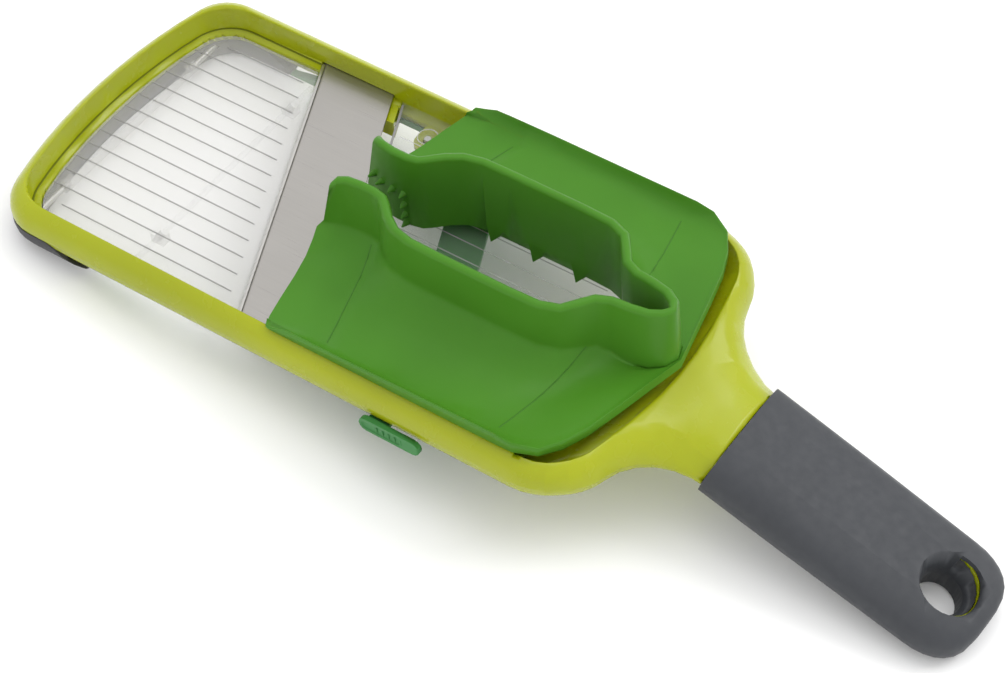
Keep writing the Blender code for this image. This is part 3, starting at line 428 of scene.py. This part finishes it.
def smooth_skin(node: str, finish: object, body: Body, angle: float = 38.0) -> bpy.types.Object:
    """A smooth-shaded skin that stands for a CAD node of the same shape.

    Args:
        node: the CAD node's name.
        finish: what it is made of.
        body: what it moves with.
        angle: edges sharper than this many degrees stay crisp.

    Returns:
        The finished skin.
    """
    form = bmesh.new()
    form.from_mesh(bpy.data.objects[node].data)
    bmesh.ops.remove_doubles(form, verts=form.verts[:], dist=0.000004)
    bmesh.ops.dissolve_limit(form, angle_limit=math.radians(FLAT_ANGLE),
                             verts=form.verts[:], edges=form.edges[:])
    bmesh.ops.triangulate(form, faces=form.faces[:], quad_method="BEAUTY", ngon_method="BEAUTY")
    mesh = bpy.data.meshes.new(node + "_skin")
    form.to_mesh(mesh)
    form.free()
    mesh.materials.append(SHELF.get(finish))
    mesh.shade_smooth()
    mesh.set_sharp_from_angle(angle=math.radians(angle))
    skin = bpy.data.objects.new(node + "_skin", mesh)
    bpy.context.scene.collection.objects.link(skin)
    weights = skin.modifiers.new("even_shading", "WEIGHTED_NORMAL")
    weights.weight = 50
    weights.keep_sharp = True
    graph = bpy.context.evaluated_depsgraph_get()
    graph.update()
    shaded_mesh = bpy.data.meshes.new_from_object(skin.evaluated_get(graph))
    skin.modifiers.clear()
    skin.data = shaded_mesh
    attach(skin, body.value)
    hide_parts(node)
    LOG.info("skinned %s in %s", node, finish.name)
    return skin


# ---------------------------------------------------------------- geometry node trees

class Tree:
    """A short way to lay out one Geometry Nodes tree with named inputs."""

    def __init__(self, name: str, numbers: Sequence[str]) -> None:
        """Start the tree.

        Args:
            name: the tree's name.
            numbers: names of its size inputs, in metres or counts.
        """
        self.tree = bpy.data.node_groups.new(name, "GeometryNodeTree")
        face = self.tree.interface
        face.new_socket("Geometry", in_out="INPUT", socket_type="NodeSocketGeometry")
        for number in numbers:
            face.new_socket(number, in_out="INPUT", socket_type="NodeSocketFloat")
        face.new_socket("Finish", in_out="INPUT", socket_type="NodeSocketMaterial")
        face.new_socket("Geometry", in_out="OUTPUT", socket_type="NodeSocketGeometry")
        self.inputs = self.tree.nodes.new("NodeGroupInput").outputs
        self.exit = self.tree.nodes.new("NodeGroupOutput").inputs["Geometry"]

    def add(self, kind: str, links: Dict[str, object], **values: object) -> bpy.types.Node:
        """Add a node, set its properties and feed its inputs.

        Args:
            kind: the node's type name.
            links: input name or index to a socket or a plain value.
            values: properties to set on it.

        Returns:
            The new node.
        """
        node = self.tree.nodes.new(kind)
        for key, value in values.items():
            setattr(node, key, value)
        for key, value in links.items():
            if isinstance(value, bpy.types.NodeSocket):
                self.tree.links.new(value, node.inputs[key])
            else:
                node.inputs[key].default_value = value
        return node

    def math(self, operation: str, first: object, second: object = 0.0) -> bpy.types.NodeSocket:
        """A sum on sockets or numbers.

        Args:
            operation: the Math node's operation.
            first: its first value.
            second: its second value.

        Returns:
            The result socket.
        """
        return self.add("ShaderNodeMath", {0: first, 1: second}, operation=operation).outputs[0]

    def stand(self, shape: bpy.types.NodeSocket) -> bpy.types.GeometryNodeTree:
        """Stand a shape on each of the seed's points, facing the point's own way, and end the tree.

        Args:
            shape: what stands there, along Z.

        Returns:
            The finished tree.
        """
        facing = self.add("GeometryNodeInputNamedAttribute", {"Name": "facing"},
                          data_type="FLOAT_VECTOR")
        turn = self.add("FunctionNodeAlignRotationToVector", {"Vector": facing.outputs[0]}, axis="Z")
        placed = self.add("GeometryNodeInstanceOnPoints",
                          {"Points": self.inputs["Geometry"], "Instance": shape,
                           "Rotation": turn.outputs[0]})
        return self.close(placed.outputs[0])

    def close(self, geometry: bpy.types.NodeSocket) -> bpy.types.GeometryNodeTree:
        """End the tree in Realize Instances and Set Material.

        Args:
            geometry: what the tree has made.

        Returns:
            The finished tree.
        """
        real = self.add("GeometryNodeRealizeInstances", {"Geometry": geometry})
        dressed = self.add("GeometryNodeSetMaterial",
                           {"Geometry": real.outputs[0], "Material": self.inputs["Finish"]})
        self.tree.links.new(dressed.outputs[0], self.exit)
        return self.tree


def ribbon_tree() -> bpy.types.GeometryNodeTree:
    """A round-cornered bar swept along the seed's edges.

    Returns:
        The tree, with inputs Width and Height.
    """
    tree = Tree("bar_along_path", ["Width", "Height"])
    path = tree.add("GeometryNodeMeshToCurve", {"Mesh": tree.inputs["Geometry"]})
    section = tree.add("GeometryNodeCurvePrimitiveQuadrilateral",
                       {"Width": tree.inputs["Width"], "Height": tree.inputs["Height"]})
    corner = tree.math("MULTIPLY", tree.inputs["Height"], 0.3)
    eased = tree.add("GeometryNodeFilletCurve", {"Curve": section.outputs[0], "Radius": corner})
    swept = tree.add("GeometryNodeCurveToMesh",
                     {"Curve": path.outputs[0], "Profile Curve": eased.outputs[0], "Fill Caps": True})
    return tree.close(swept.outputs[0])


def spike_tree() -> bpy.types.GeometryNodeTree:
    """A blunt spike standing on each of the seed's points, along the point's own direction.

    Returns:
        The tree, with inputs Radius and Length.
    """
    tree = Tree("spikes_on_points", ["Radius", "Length"])
    cone = tree.add("GeometryNodeMeshCone",
                    {"Vertices": 10, "Radius Top": tree.math("MULTIPLY", tree.inputs["Radius"], 0.22),
                     "Radius Bottom": tree.inputs["Radius"], "Depth": tree.inputs["Length"]})
    return tree.stand(cone.outputs["Mesh"])


def ring_tree() -> bpy.types.GeometryNodeTree:
    """A flat round ring standing on each of the seed's points.

    Returns:
        The tree, with inputs Radius and Thickness.
    """
    tree = Tree("rings_on_points", ["Radius", "Thickness"])
    loop = tree.add("GeometryNodeCurvePrimitiveCircle",
                    {"Resolution": 28, "Radius": tree.inputs["Radius"]})
    section = tree.add("GeometryNodeCurvePrimitiveCircle",
                       {"Resolution": 8, "Radius": tree.inputs["Thickness"]})
    ring = tree.add("GeometryNodeCurveToMesh",
                    {"Curve": loop.outputs[0], "Profile Curve": section.outputs[0]})
    return tree.stand(ring.outputs[0])


def cross_tree() -> bpy.types.GeometryNodeTree:
    """A cross of two flat bars on each of the seed's points, marking a recess.

    Returns:
        The tree, with inputs Span, Width and Depth.
    """
    tree = Tree("crosses_on_points", ["Span", "Width", "Depth"])
    bars = []
    for across, along in (("Span", "Width"), ("Width", "Span")):
        size = tree.add("ShaderNodeCombineXYZ",
                        {"X": tree.inputs[across], "Y": tree.inputs[along], "Z": tree.inputs["Depth"]})
        bars.append(tree.add("GeometryNodeMeshCube", {"Size": size.outputs[0]}))
    lifted = tree.add("GeometryNodeTransform",
                      {"Geometry": bars[1].outputs[0], "Translation": (0.0, 0.0, BAR_LIFT)})
    both = tree.add("GeometryNodeJoinGeometry", {})
    tree.tree.links.new(bars[0].outputs[0], both.inputs[0])
    tree.tree.links.new(lifted.outputs[0], both.inputs[0])
    return tree.stand(both.outputs[0])


class Workshop:
    """Makes pieces from seeds and trees, in the slicer's axes."""

    def __init__(self, axes: SlicerAxes) -> None:
        """Keep the slicer's axes and build the trees once.

        Args:
            axes: where the slicer lies.
        """
        self.place = axes.matrix()
        self.trees: Dict[str, bpy.types.GeometryNodeTree] = {}

    def tree(self, maker: Callable[[], bpy.types.GeometryNodeTree]) -> bpy.types.GeometryNodeTree:
        """A tree, built on first use.

        Args:
            maker: the function that builds it.

        Returns:
            The tree.
        """
        if maker.__name__ not in self.trees:
            self.trees[maker.__name__] = maker()
        return self.trees[maker.__name__]

    def seed(self, name: str, points: Sequence[Sequence[float]], edges: Sequence[Tuple[int, int]],
             facing: Sequence[Sequence[float]] = ()) -> bpy.types.Object:
        """A mesh of bare points and edges for a tree to work on.

        Args:
            name: the seed's name.
            points: places in millimetres, in the slicer's axes.
            edges: pairs of points.
            facing: a direction for each point, in the slicer's axes.

        Returns:
            The seed object.
        """
        mesh = bpy.data.meshes.new(name)
        mesh.from_pydata([tuple(Vector(p) * MM) for p in points], list(edges), [])
        if facing:
            layer = mesh.attributes.new("facing", "FLOAT_VECTOR", "POINT")
            for i, direction in enumerate(facing):
                layer.data[i].vector = direction
        obj = bpy.data.objects.new(name, mesh)
        bpy.context.scene.collection.objects.link(obj)
        return obj

    def grow(self, seed: bpy.types.Object, tree: bpy.types.GeometryNodeTree, sizes: Dict[str, float],
             finish: object, body: Body, smooth: bool = False) -> bpy.types.Object:
        """Run a tree on a seed, keep the plain mesh and let it ride on a body.

        Args:
            seed: the points and edges.
            tree: what grows on them.
            sizes: the tree's named inputs, in millimetres.
            finish: what the piece is made of.
            body: what it moves with.
            smooth: whether its faces are shaded smooth.

        Returns:
            The finished piece.
        """
        modifier = seed.modifiers.new("grow", "NODES")
        modifier.node_group = tree
        for item in tree.interface.items_tree:
            if item.in_out != "INPUT" or item.item_type != "SOCKET":
                continue
            if item.name in sizes:
                modifier[item.identifier] = sizes[item.name] * MM
            if item.name == "Finish":
                modifier[item.identifier] = SHELF.get(finish)
        graph = bpy.context.evaluated_depsgraph_get()
        graph.update()
        mesh = bpy.data.meshes.new_from_object(seed.evaluated_get(graph))
        seed.modifiers.clear()
        seed.data = mesh
        if not len(mesh.polygons):
            raise ValueError("nothing grew on " + seed.name)
        mesh.transform(self.place)
        if smooth:
            mesh.shade_smooth()
            mesh.set_sharp_from_angle(angle=math.radians(40.0))
        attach(seed, body.value)
        LOG.info("built %s: %d faces", seed.name, len(mesh.polygons))
        return seed

    def bars(self, name: str, paths: Sequence[Sequence[Point]], width: float, height: float,
             finish: object, body: Body) -> bpy.types.Object:
        """Thin bars along paths.

        Args:
            name: the piece's name.
            paths: rows of places in millimetres.
            width: across, in millimetres.
            height: thickness, in millimetres.
            finish: what they are made of.
            body: what they move with.

        Returns:
            The finished piece.
        """
        points: List[Point] = []
        edges: List[Tuple[int, int]] = []
        for path in paths:
            start = len(points)
            points += list(path)
            edges += [(start + i, start + i + 1) for i in range(len(path) - 1)]
        seed = self.seed(name, points, edges)
        return self.grow(seed, self.tree(ribbon_tree), {"Width": width, "Height": height}, finish, body)


# ---------------------------------------------------------------- sub-assemblies

@dataclass
class FrameShell:
    """The lime frame: its finish and a dark line of painted shade in the groove between the walls and
    the ledge.
    """

    half_width: float = 62.0
    wall: float = 5.6
    corner_centre: Tuple[float, float] = (20.5, 40.0)
    corner_radius: float = 16.4
    corner_start: float = 43.6
    front_x: float = -6.0
    bow: float = 0.002513
    groove_shade_end: float = 90.0
    groove_shade_width: float = 0.8
    groove_shade_height: float = 0.1
    groove_shade_inset: float = 0.45
    far_groove_shade_share: float = 0.6
    near_groove_shade_end: float = 78.0

    def inner_path(self, inset: float, height: float) -> List[Point]:
        """The foot of the walls from one side round the front to the other.

        Args:
            inset: how far inside the outer outline it runs.
            height: its level.

        Returns:
            The path, far side first.
        """
        radius = self.corner_radius - (inset - self.wall)
        turn = math.degrees(math.atan(2.0 * self.bow * self.corner_start))
        half = []
        for i in range(6):
            y = self.corner_start * i / 6.0
            half.append((self.front_x + inset + self.bow * y * y, y, height))
        for i in range(13):
            angle = math.radians(180.0 - turn + (90.0 - 180.0 + turn) * i / 12.0)
            half.append((self.corner_centre[0] + radius * math.cos(angle),
                         self.corner_centre[1] + radius * math.sin(angle), height))
        half.append((self.groove_shade_end * self.far_groove_shade_share, self.half_width - inset, height))
        return half

    def build(self, shop: Workshop) -> None:
        """Lay a dark line of painted shade in the groove at the foot of the walls.

        Args:
            shop: where pieces are made.
        """
        inset = self.wall + self.groove_shade_inset
        height = self.groove_shade_height * 0.5
        half = self.inner_path(inset, height)
        far = list(reversed(half))
        near = [(x, -y, z) for x, y, z in half[1:-1]]
        near.append((self.near_groove_shade_end, inset - self.half_width, height))
        # painted shade: a dark lime line in the groove at the foot of the walls
        shop.bars("tray_groove_shade", [far + near], self.groove_shade_width, self.groove_shade_height, LIME_GROOVE_SHADE, Body.FRAME)

    def dress(self) -> None:
        """Give the frame its finish and a smooth skin."""
        SHELF.dress(["frame"], LIME)
        smooth_skin("frame", LIME, Body.FRAME)


@dataclass
class Handle:
    """The soft sleeve and the front foot."""

    def dress(self) -> None:
        """Give both rubber parts their finishes."""
        SHELF.dress(["handle_sleeve"], SOFT_GREY)
        SHELF.dress(["front_foot"], FOOT_GREY)
        smooth_skin("handle_sleeve", SOFT_GREY, Body.FRAME)
        smooth_skin("front_foot", FOOT_GREY, Body.FRAME)


@dataclass
class Runway:
    """The clear tilting plate with its crowned ridges."""

    ridges: int = 14
    pitch: float = 7.0
    start: float = 10.6
    outer_start: float = 17.0
    outer_from: float = 42.0
    end: float = 71.0
    crown_z: float = -0.33
    crown_width: float = 0.46
    crown_height: float = 0.12
    lead_start: float = 4.2
    lead_bow: float = 0.0022
    lead_end: float = 10.4
    lead_z: float = -0.66
    lead_width: float = 0.45
    lead_height: float = 0.1

    def ridge_paths(self) -> List[List[Point]]:
        """One straight path for each ridge, ending in line with the blade."""
        paths = []
        for number in range(self.ridges):
            y = (number - (self.ridges - 1) / 2.0) * self.pitch
            start = self.outer_start if abs(y) > self.outer_from else self.start
            paths.append([(start, y, self.crown_z), (self.end - SKEW * y, y, self.crown_z)])
        return paths

    def front_paths(self) -> List[List[Point]]:
        """The fine lines that carry the ridges on to the plate's front edge."""
        paths = []
        for number in range(self.ridges):
            y = (number - (self.ridges - 1) / 2.0) * self.pitch
            if abs(y) < self.outer_from:
                low = self.lead_start + self.lead_bow * y * y
                paths.append([(low, y, self.lead_z), (self.lead_end, y, self.lead_z)])
        return paths

    def build(self, shop: Workshop) -> None:
        """Lay grey lines of painted shade on the ridges' crowns, and their leads in front of them.

        Args:
            shop: where pieces are made.
        """
        # painted shade: grey lines along the clear ridges
        shop.bars("ridge_shade_lines", self.ridge_paths(), self.crown_width, self.crown_height,
                  CLEAR_LINE_SHADE, Body.RUNWAY)
        shop.bars("ridge_lead_shade_lines", self.front_paths(), self.lead_width, self.lead_height,
                  CLEAR_LINE_SHADE, Body.RUNWAY)

    def dress(self) -> None:
        """Give the plate and its rod their finishes.

        The rod is steel in the CAD. It is shown clear, so that no dark bar crosses the plate above it.
        """
        SHELF.dress(["runway_plate"], CLEAR)
        SHELF.dress(["lift_rod"], CLEAR_ROD)


@dataclass
class Blade:
    """The skewed blade and its ground edge."""

    edge_x: float = 76.4
    top_z: float = 1.0
    half: float = 55.6
    grind: float = 1.0
    grind_height: float = 0.08
    grind_share: float = 0.6

    def edge_path(self, back: float) -> List[Point]:
        """A line along the edge.

        Args:
            back: how far behind the edge it runs.

        Returns:
            Its two ends.
        """
        return [(self.edge_x + back + SKEW * self.half, -self.half, self.top_z),
                (self.edge_x + back - SKEW * self.half, self.half, self.top_z)]

    def build(self, shop: Workshop) -> None:
        """Lay the ground edge on the blade.

        Args:
            shop: where pieces are made.
        """
        shop.bars("ground_edge", [self.edge_path(self.grind * self.grind_share)], self.grind,
                  self.grind_height, EDGE_STEEL, Body.FRAME)

    def dress(self) -> None:
        """Give the blade its finish."""
        SHELF.dress(["blade"], STEEL)


@dataclass
class LandingPlate:
    """The clear plate behind the blade, with moulded lines, a grey line of painted shade along its
    front rim and screw bosses.
    """

    lines: int = 13
    pitch: float = 7.0
    front_x: float = 111.4
    half: float = 55.0
    line_gap: float = 3.0
    line_end: float = 196.0
    line_width: float = 0.4
    line_height: float = 0.1
    top_z: float = 0.03
    rim_back: float = 0.5
    rim_width: float = 0.9
    rim_height: float = 0.12
    ring_radius: float = 3.6
    ring_thick: float = 0.22
    ring_z: float = 0.05

    def line_paths(self) -> List[List[Point]]:
        """Lengthwise moulded lines."""
        paths = []
        for number in range(self.lines):
            y = (number - (self.lines - 1) / 2.0) * self.pitch
            front = self.front_x + self.line_gap - SKEW * y
            paths.append([(front, y, self.top_z), (self.line_end, y, self.top_z)])
        return paths

    def build(self, shop: Workshop) -> None:
        """Add the lines, a grey line of painted shade along the front rim, and the boss rings.

        Args:
            shop: where pieces are made.
        """
        shop.bars("landing_lines", self.line_paths(), self.line_width, self.line_height,
                  CLEAR_RIM, Body.FRAME)
        rim_x = self.front_x + self.rim_back
        rim = [(rim_x + SKEW * self.half, -self.half, self.top_z),
               (rim_x - SKEW * self.half, self.half, self.top_z)]
        # painted shade: a grey line along the front rim of the clear plate
        shop.bars("landing_rim_shade", [rim], self.rim_width, self.rim_height, CLEAR_LINE_SHADE, Body.FRAME)
        turn = shop.place.inverted()
        places = []
        for number in range(1, 5):
            low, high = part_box("landing_screw_%d" % number)
            centre = turn @ ((low + high) / 2.0) / MM
            places.append((centre.x, centre.y, self.ring_z))
        facing = [(0.0, 0.0, 1.0)] * len(places)
        seed = shop.seed("boss_rings", places, [], facing)
        sizes = {"Radius": self.ring_radius, "Thickness": self.ring_thick}
        shop.grow(seed, shop.tree(ring_tree), sizes, CLEAR_RIM, Body.FRAME, True)

    def dress(self) -> None:
        """Give the plate its finish."""
        SHELF.dress(["landing_plate"], CLEAR_REAR)


@dataclass
class Adjuster:
    """The thickness adjuster: slide, tab and detent spring."""

    tab_lines: int = 5
    pitch: float = 2.4
    half_height: float = 1.1
    line_width: float = 0.5
    line_height: float = 0.25

    def build(self, shop: Workshop) -> None:
        """Add finger lines to the tab's outer face.

        Args:
            shop: where pieces are made.
        """
        turn = shop.place.inverted()
        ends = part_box("adjuster_tab")
        corners = [turn @ Vector((a.x, b.y, c.z)) / MM for a in ends for b in ends for c in ends]
        face = min(corner.y for corner in corners)
        middle_x = sum(corner.x for corner in corners) / len(corners)
        middle_z = sum(corner.z for corner in corners) / len(corners)
        paths = []
        for number in range(self.tab_lines):
            x = middle_x + (number - (self.tab_lines - 1) / 2.0) * self.pitch
            paths.append([(x, face, middle_z - self.half_height),
                          (x, face, middle_z + self.half_height)])
        shop.bars("tab_lines", paths, self.line_width, self.line_height, DARK_GREEN, Body.ADJUSTER)

    def dress(self) -> None:
        """Give the parts their finishes."""
        SHELF.dress(["adjuster_slide", "adjuster_tab"], DARK_GREEN)
        smooth_skin("adjuster_tab", DARK_GREEN, Body.ADJUSTER)
        SHELF.dress(["detent_spring", "hinge_pin_near", "hinge_pin_far"], SPRING_STEEL)


@dataclass
class FoodGrip:
    """The food grip: green plastic with creased wings and spikes inside its ears."""

    spike_places: List[Tuple[float, float]] = field(default_factory=lambda: [
        (110.9, 18.5), (115.3, 18.5), (120.3, 18.5), (124.8, 18.5),
        (124.8, 13.7), (124.8, 8.9), (124.8, 4.8)])
    spike_radius: float = 1.45
    spike_length: float = 3.0
    spike_sink: float = 0.4
    spike_reach: float = 30.0
    creases: List[Tuple[Tuple[float, float], Tuple[float, float]]] = field(default_factory=lambda: [
        ((127.0, 14.0), (137.0, 52.0)), ((212.6, 12.0), (204.7, 52.0))])
    crease_steps: int = 16
    crease_from: float = 60.0
    crease_reach: float = 80.0
    crease_top: float = 22.0
    crease_shade_width: float = 0.45
    crease_shade_height: float = 0.14

    def skin(self, shop: Workshop) -> BVHTree:
        """The grip's surface in the slicer's axes, for finding places on it.

        Args:
            shop: where pieces are made.

        Returns:
            A tree to cast rays at.
        """
        node = bpy.data.objects["food_grip"]
        inward = shop.place.inverted()
        points = [inward @ vertex.co for vertex in node.data.vertices]
        return BVHTree.FromPolygons(points, [tuple(face.vertices) for face in node.data.polygons])

    def crease_shade_lines(self, shop: Workshop) -> None:
        """Run dark lines of painted shade along the creases across both wings.

        Args:
            shop: where pieces are made.
        """
        skin = self.skin(shop)
        paths = []
        for side in Side:
            for (x0, y0), (x1, y1) in self.creases:
                path = []
                for i in range(self.crease_steps + 1):
                    share = i / self.crease_steps
                    x = x0 + (x1 - x0) * share
                    y = (y0 + (y1 - y0) * share) * side.value
                    above = Vector((x, y, self.crease_from)) * MM
                    hit = skin.ray_cast(above, Vector((0.0, 0.0, -1.0)), self.crease_reach * MM)[0]
                    if hit is not None and hit.z < self.crease_top * MM:
                        path.append(tuple(hit / MM))
                if len(path) > 2:
                    paths.append(path)
        # painted shade: darker green lines where the crease steps fall into shade
        shop.bars("grip_crease_shading", paths, self.crease_shade_width, self.crease_shade_height,
                  GREEN_CREASE_SHADE, Body.GRIP)

    def spikes(self, shop: Workshop) -> None:
        """Stand spikes on the ears' inner faces.

        Args:
            shop: where pieces are made.
        """
        skin = self.skin(shop)
        places = []
        facing = []
        for side in Side:
            for x, z in self.spike_places:
                start = Vector((x, 0.0, z)) * MM
                outward = Vector((0.0, side.value, 0.0))
                hit, normal, _, _ = skin.ray_cast(start, outward, self.spike_reach * MM)
                if hit is None:
                    continue
                if normal.y * side.value > 0.0:
                    normal = -normal
                places.append(tuple((hit - normal * self.spike_sink * MM) / MM))
                facing.append(tuple(normal))
        seed = shop.seed("ear_spikes", places, [], facing)
        sizes = {"Radius": self.spike_radius, "Length": self.spike_length}
        shop.grow(seed, shop.tree(spike_tree), sizes, GREEN, Body.GRIP, True)

    def dress(self) -> None:
        """Give the grip its finish and a smooth skin."""
        SHELF.dress(["food_grip"], GREEN)
        smooth_skin("food_grip", GREEN, Body.GRIP)


@dataclass
class Screws:
    """All screws under the frame, with a dark cross of painted shade in each recess."""

    span: float = 2.6
    width: float = 0.6
    depth: float = 0.12
    head_slice: float = 0.05
    recess_drop: float = 0.02

    def names(self) -> List[str]:
        """The screws' node names."""
        numbers = range(1, 5)
        return (["blade_screw_%d" % number for number in numbers]
                + ["landing_screw_%d" % number for number in numbers] + ["spring_screw_1"])

    def build(self, shop: Workshop) -> None:
        """Mark each head's recess with a dark cross of painted shade.

        Args:
            shop: where pieces are made.
        """
        inward = shop.place.inverted()
        places = []
        for name in self.names():
            points = [inward @ vertex.co / MM for vertex in bpy.data.objects[name].data.vertices]
            low = min(point.z for point in points)
            ends = [point for point in points if point.z < low + self.head_slice]
            x = (min(p.x for p in ends) + max(p.x for p in ends)) / 2.0
            y = (min(p.y for p in ends) + max(p.y for p in ends)) / 2.0
            places.append((x, y, low - self.recess_drop))
        # painted shade: a dark cross in each recess
        seed = shop.seed("recess_shade_crosses", places, [], [(0.0, 0.0, -1.0)] * len(places))
        sizes = {"Span": self.span, "Width": self.width, "Depth": self.depth}
        shop.grow(seed, shop.tree(cross_tree), sizes, RECESS_SHADE, Body.FRAME)

    def dress(self) -> None:
        """Give the screws their plating."""
        SHELF.dress(self.names(), ZINC)


# ---------------------------------------------------------------- studio

@dataclass
class Lamp:
    """One soft studio lamp."""

    name: str
    place: Point
    aim: Point
    size: float
    power: float

    def build(self) -> None:
        """Hang the lamp."""
        light = bpy.data.lights.new(self.name, "AREA")
        light.shape = "DISK"
        light.size = self.size
        light.energy = self.power
        lamp = bpy.data.objects.new(self.name, light)
        bpy.context.scene.collection.objects.link(lamp)
        lamp.location = self.place
        direction = Vector(self.aim) - Vector(self.place)
        lamp.rotation_euler = direction.to_track_quat("-Z", "Y").to_euler()


@dataclass
class Studio:
    """A plain pale floor, soft lamps and the camera."""

    floor_size: float = 8.0
    floor_colour: Colour = (0.93, 0.93, 0.93)
    sky: float = 1.12
    camera_place: Point = (576.11, -513.36, 731.58)
    camera_right: Point = (0.81698274, 0.57437998, -0.05125273)
    camera_up: Point = (-0.40629885, 0.63641461, 0.65566583)
    lens: float = 107.14

    def build_floor(self) -> None:
        """Lay the floor under the slicer."""
        half = self.floor_size / 2.0
        mesh = bpy.data.meshes.new("floor")
        corners = [(-half, -half, 0.0), (half, -half, 0.0), (half, half, 0.0), (-half, half, 0.0)]
        mesh.from_pydata(corners, [], [(0, 1, 2, 3)])
        floor = bpy.data.objects.new("floor", mesh)
        bpy.context.scene.collection.objects.link(floor)
        nodes = Nodes("floor_card")
        cloud = nodes.noise(nodes.place(), 3.0)
        nodes.link(nodes.tint(cloud, shaded(self.floor_colour, 0.995), self.floor_colour),
                   nodes.shader.inputs["Base Color"])
        nodes.shader.inputs["Roughness"].default_value = 0.9
        nodes.shader.inputs["Specular IOR Level"].default_value = 0.1
        mesh.materials.append(nodes.material)

    def build_sky(self) -> None:
        """Fill the room with even light."""
        world = bpy.data.worlds.new("room")
        bpy.context.scene.world = world
        world.use_nodes = True
        background = world.node_tree.nodes["Background"]
        background.inputs["Color"].default_value = (1.0, 1.0, 1.0, 1.0)
        background.inputs["Strength"].default_value = self.sky

    def build_camera(self, axes: SlicerAxes) -> None:
        """Stand the camera over the near rear corner.

        Args:
            axes: where the slicer lies.
        """
        right = Vector(self.camera_right)
        up = Vector(self.camera_up)
        back = right.cross(up)
        data = bpy.data.cameras.new("camera")
        data.sensor_width = 36.0
        data.lens = self.lens
        data.clip_start = 0.01
        data.clip_end = 50.0
        camera = bpy.data.objects.new("camera", data)
        bpy.context.scene.collection.objects.link(camera)
        turn = Matrix((right, up, back)).transposed().to_4x4()
        camera.matrix_world = axes.matrix() @ Matrix.Translation(Vector(self.camera_place) * MM) @ turn
        bpy.context.scene.camera = camera

    def build(self, axes: SlicerAxes) -> None:
        """Set the whole studio up.

        Args:
            axes: where the slicer lies.
        """
        self.build_floor()
        self.build_sky()
        for lamp in (Lamp("window", (0.9, 1.1, 1.5), (0.0, 0.0, 0.0), 1.1, 12.5),
                     Lamp("overhead", (-0.2, 0.3, 1.8), (0.0, 0.0, 0.0), 1.4, 6.5)):
            lamp.build()
        self.build_camera(axes)
        bpy.context.scene.view_settings.view_transform = "Standard"


def main() -> None:
    """Load the frame, build and dress each sub-assembly and set the studio up."""
    logging.basicConfig(level=logging.INFO, format="%(name)s: %(message)s")
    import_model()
    axes = SlicerAxes()
    shop = Workshop(axes)
    for assembly in (FrameShell(), Runway(), Blade(), LandingPlate(), Adjuster(), Screws()):
        assembly.build(shop)
        assembly.dress()
    Handle().dress()
    grip = FoodGrip()
    grip.spikes(shop)
    grip.crease_shade_lines(shop)
    grip.dress()
    Studio().build(axes)


if __name__ == "__main__":
    main()
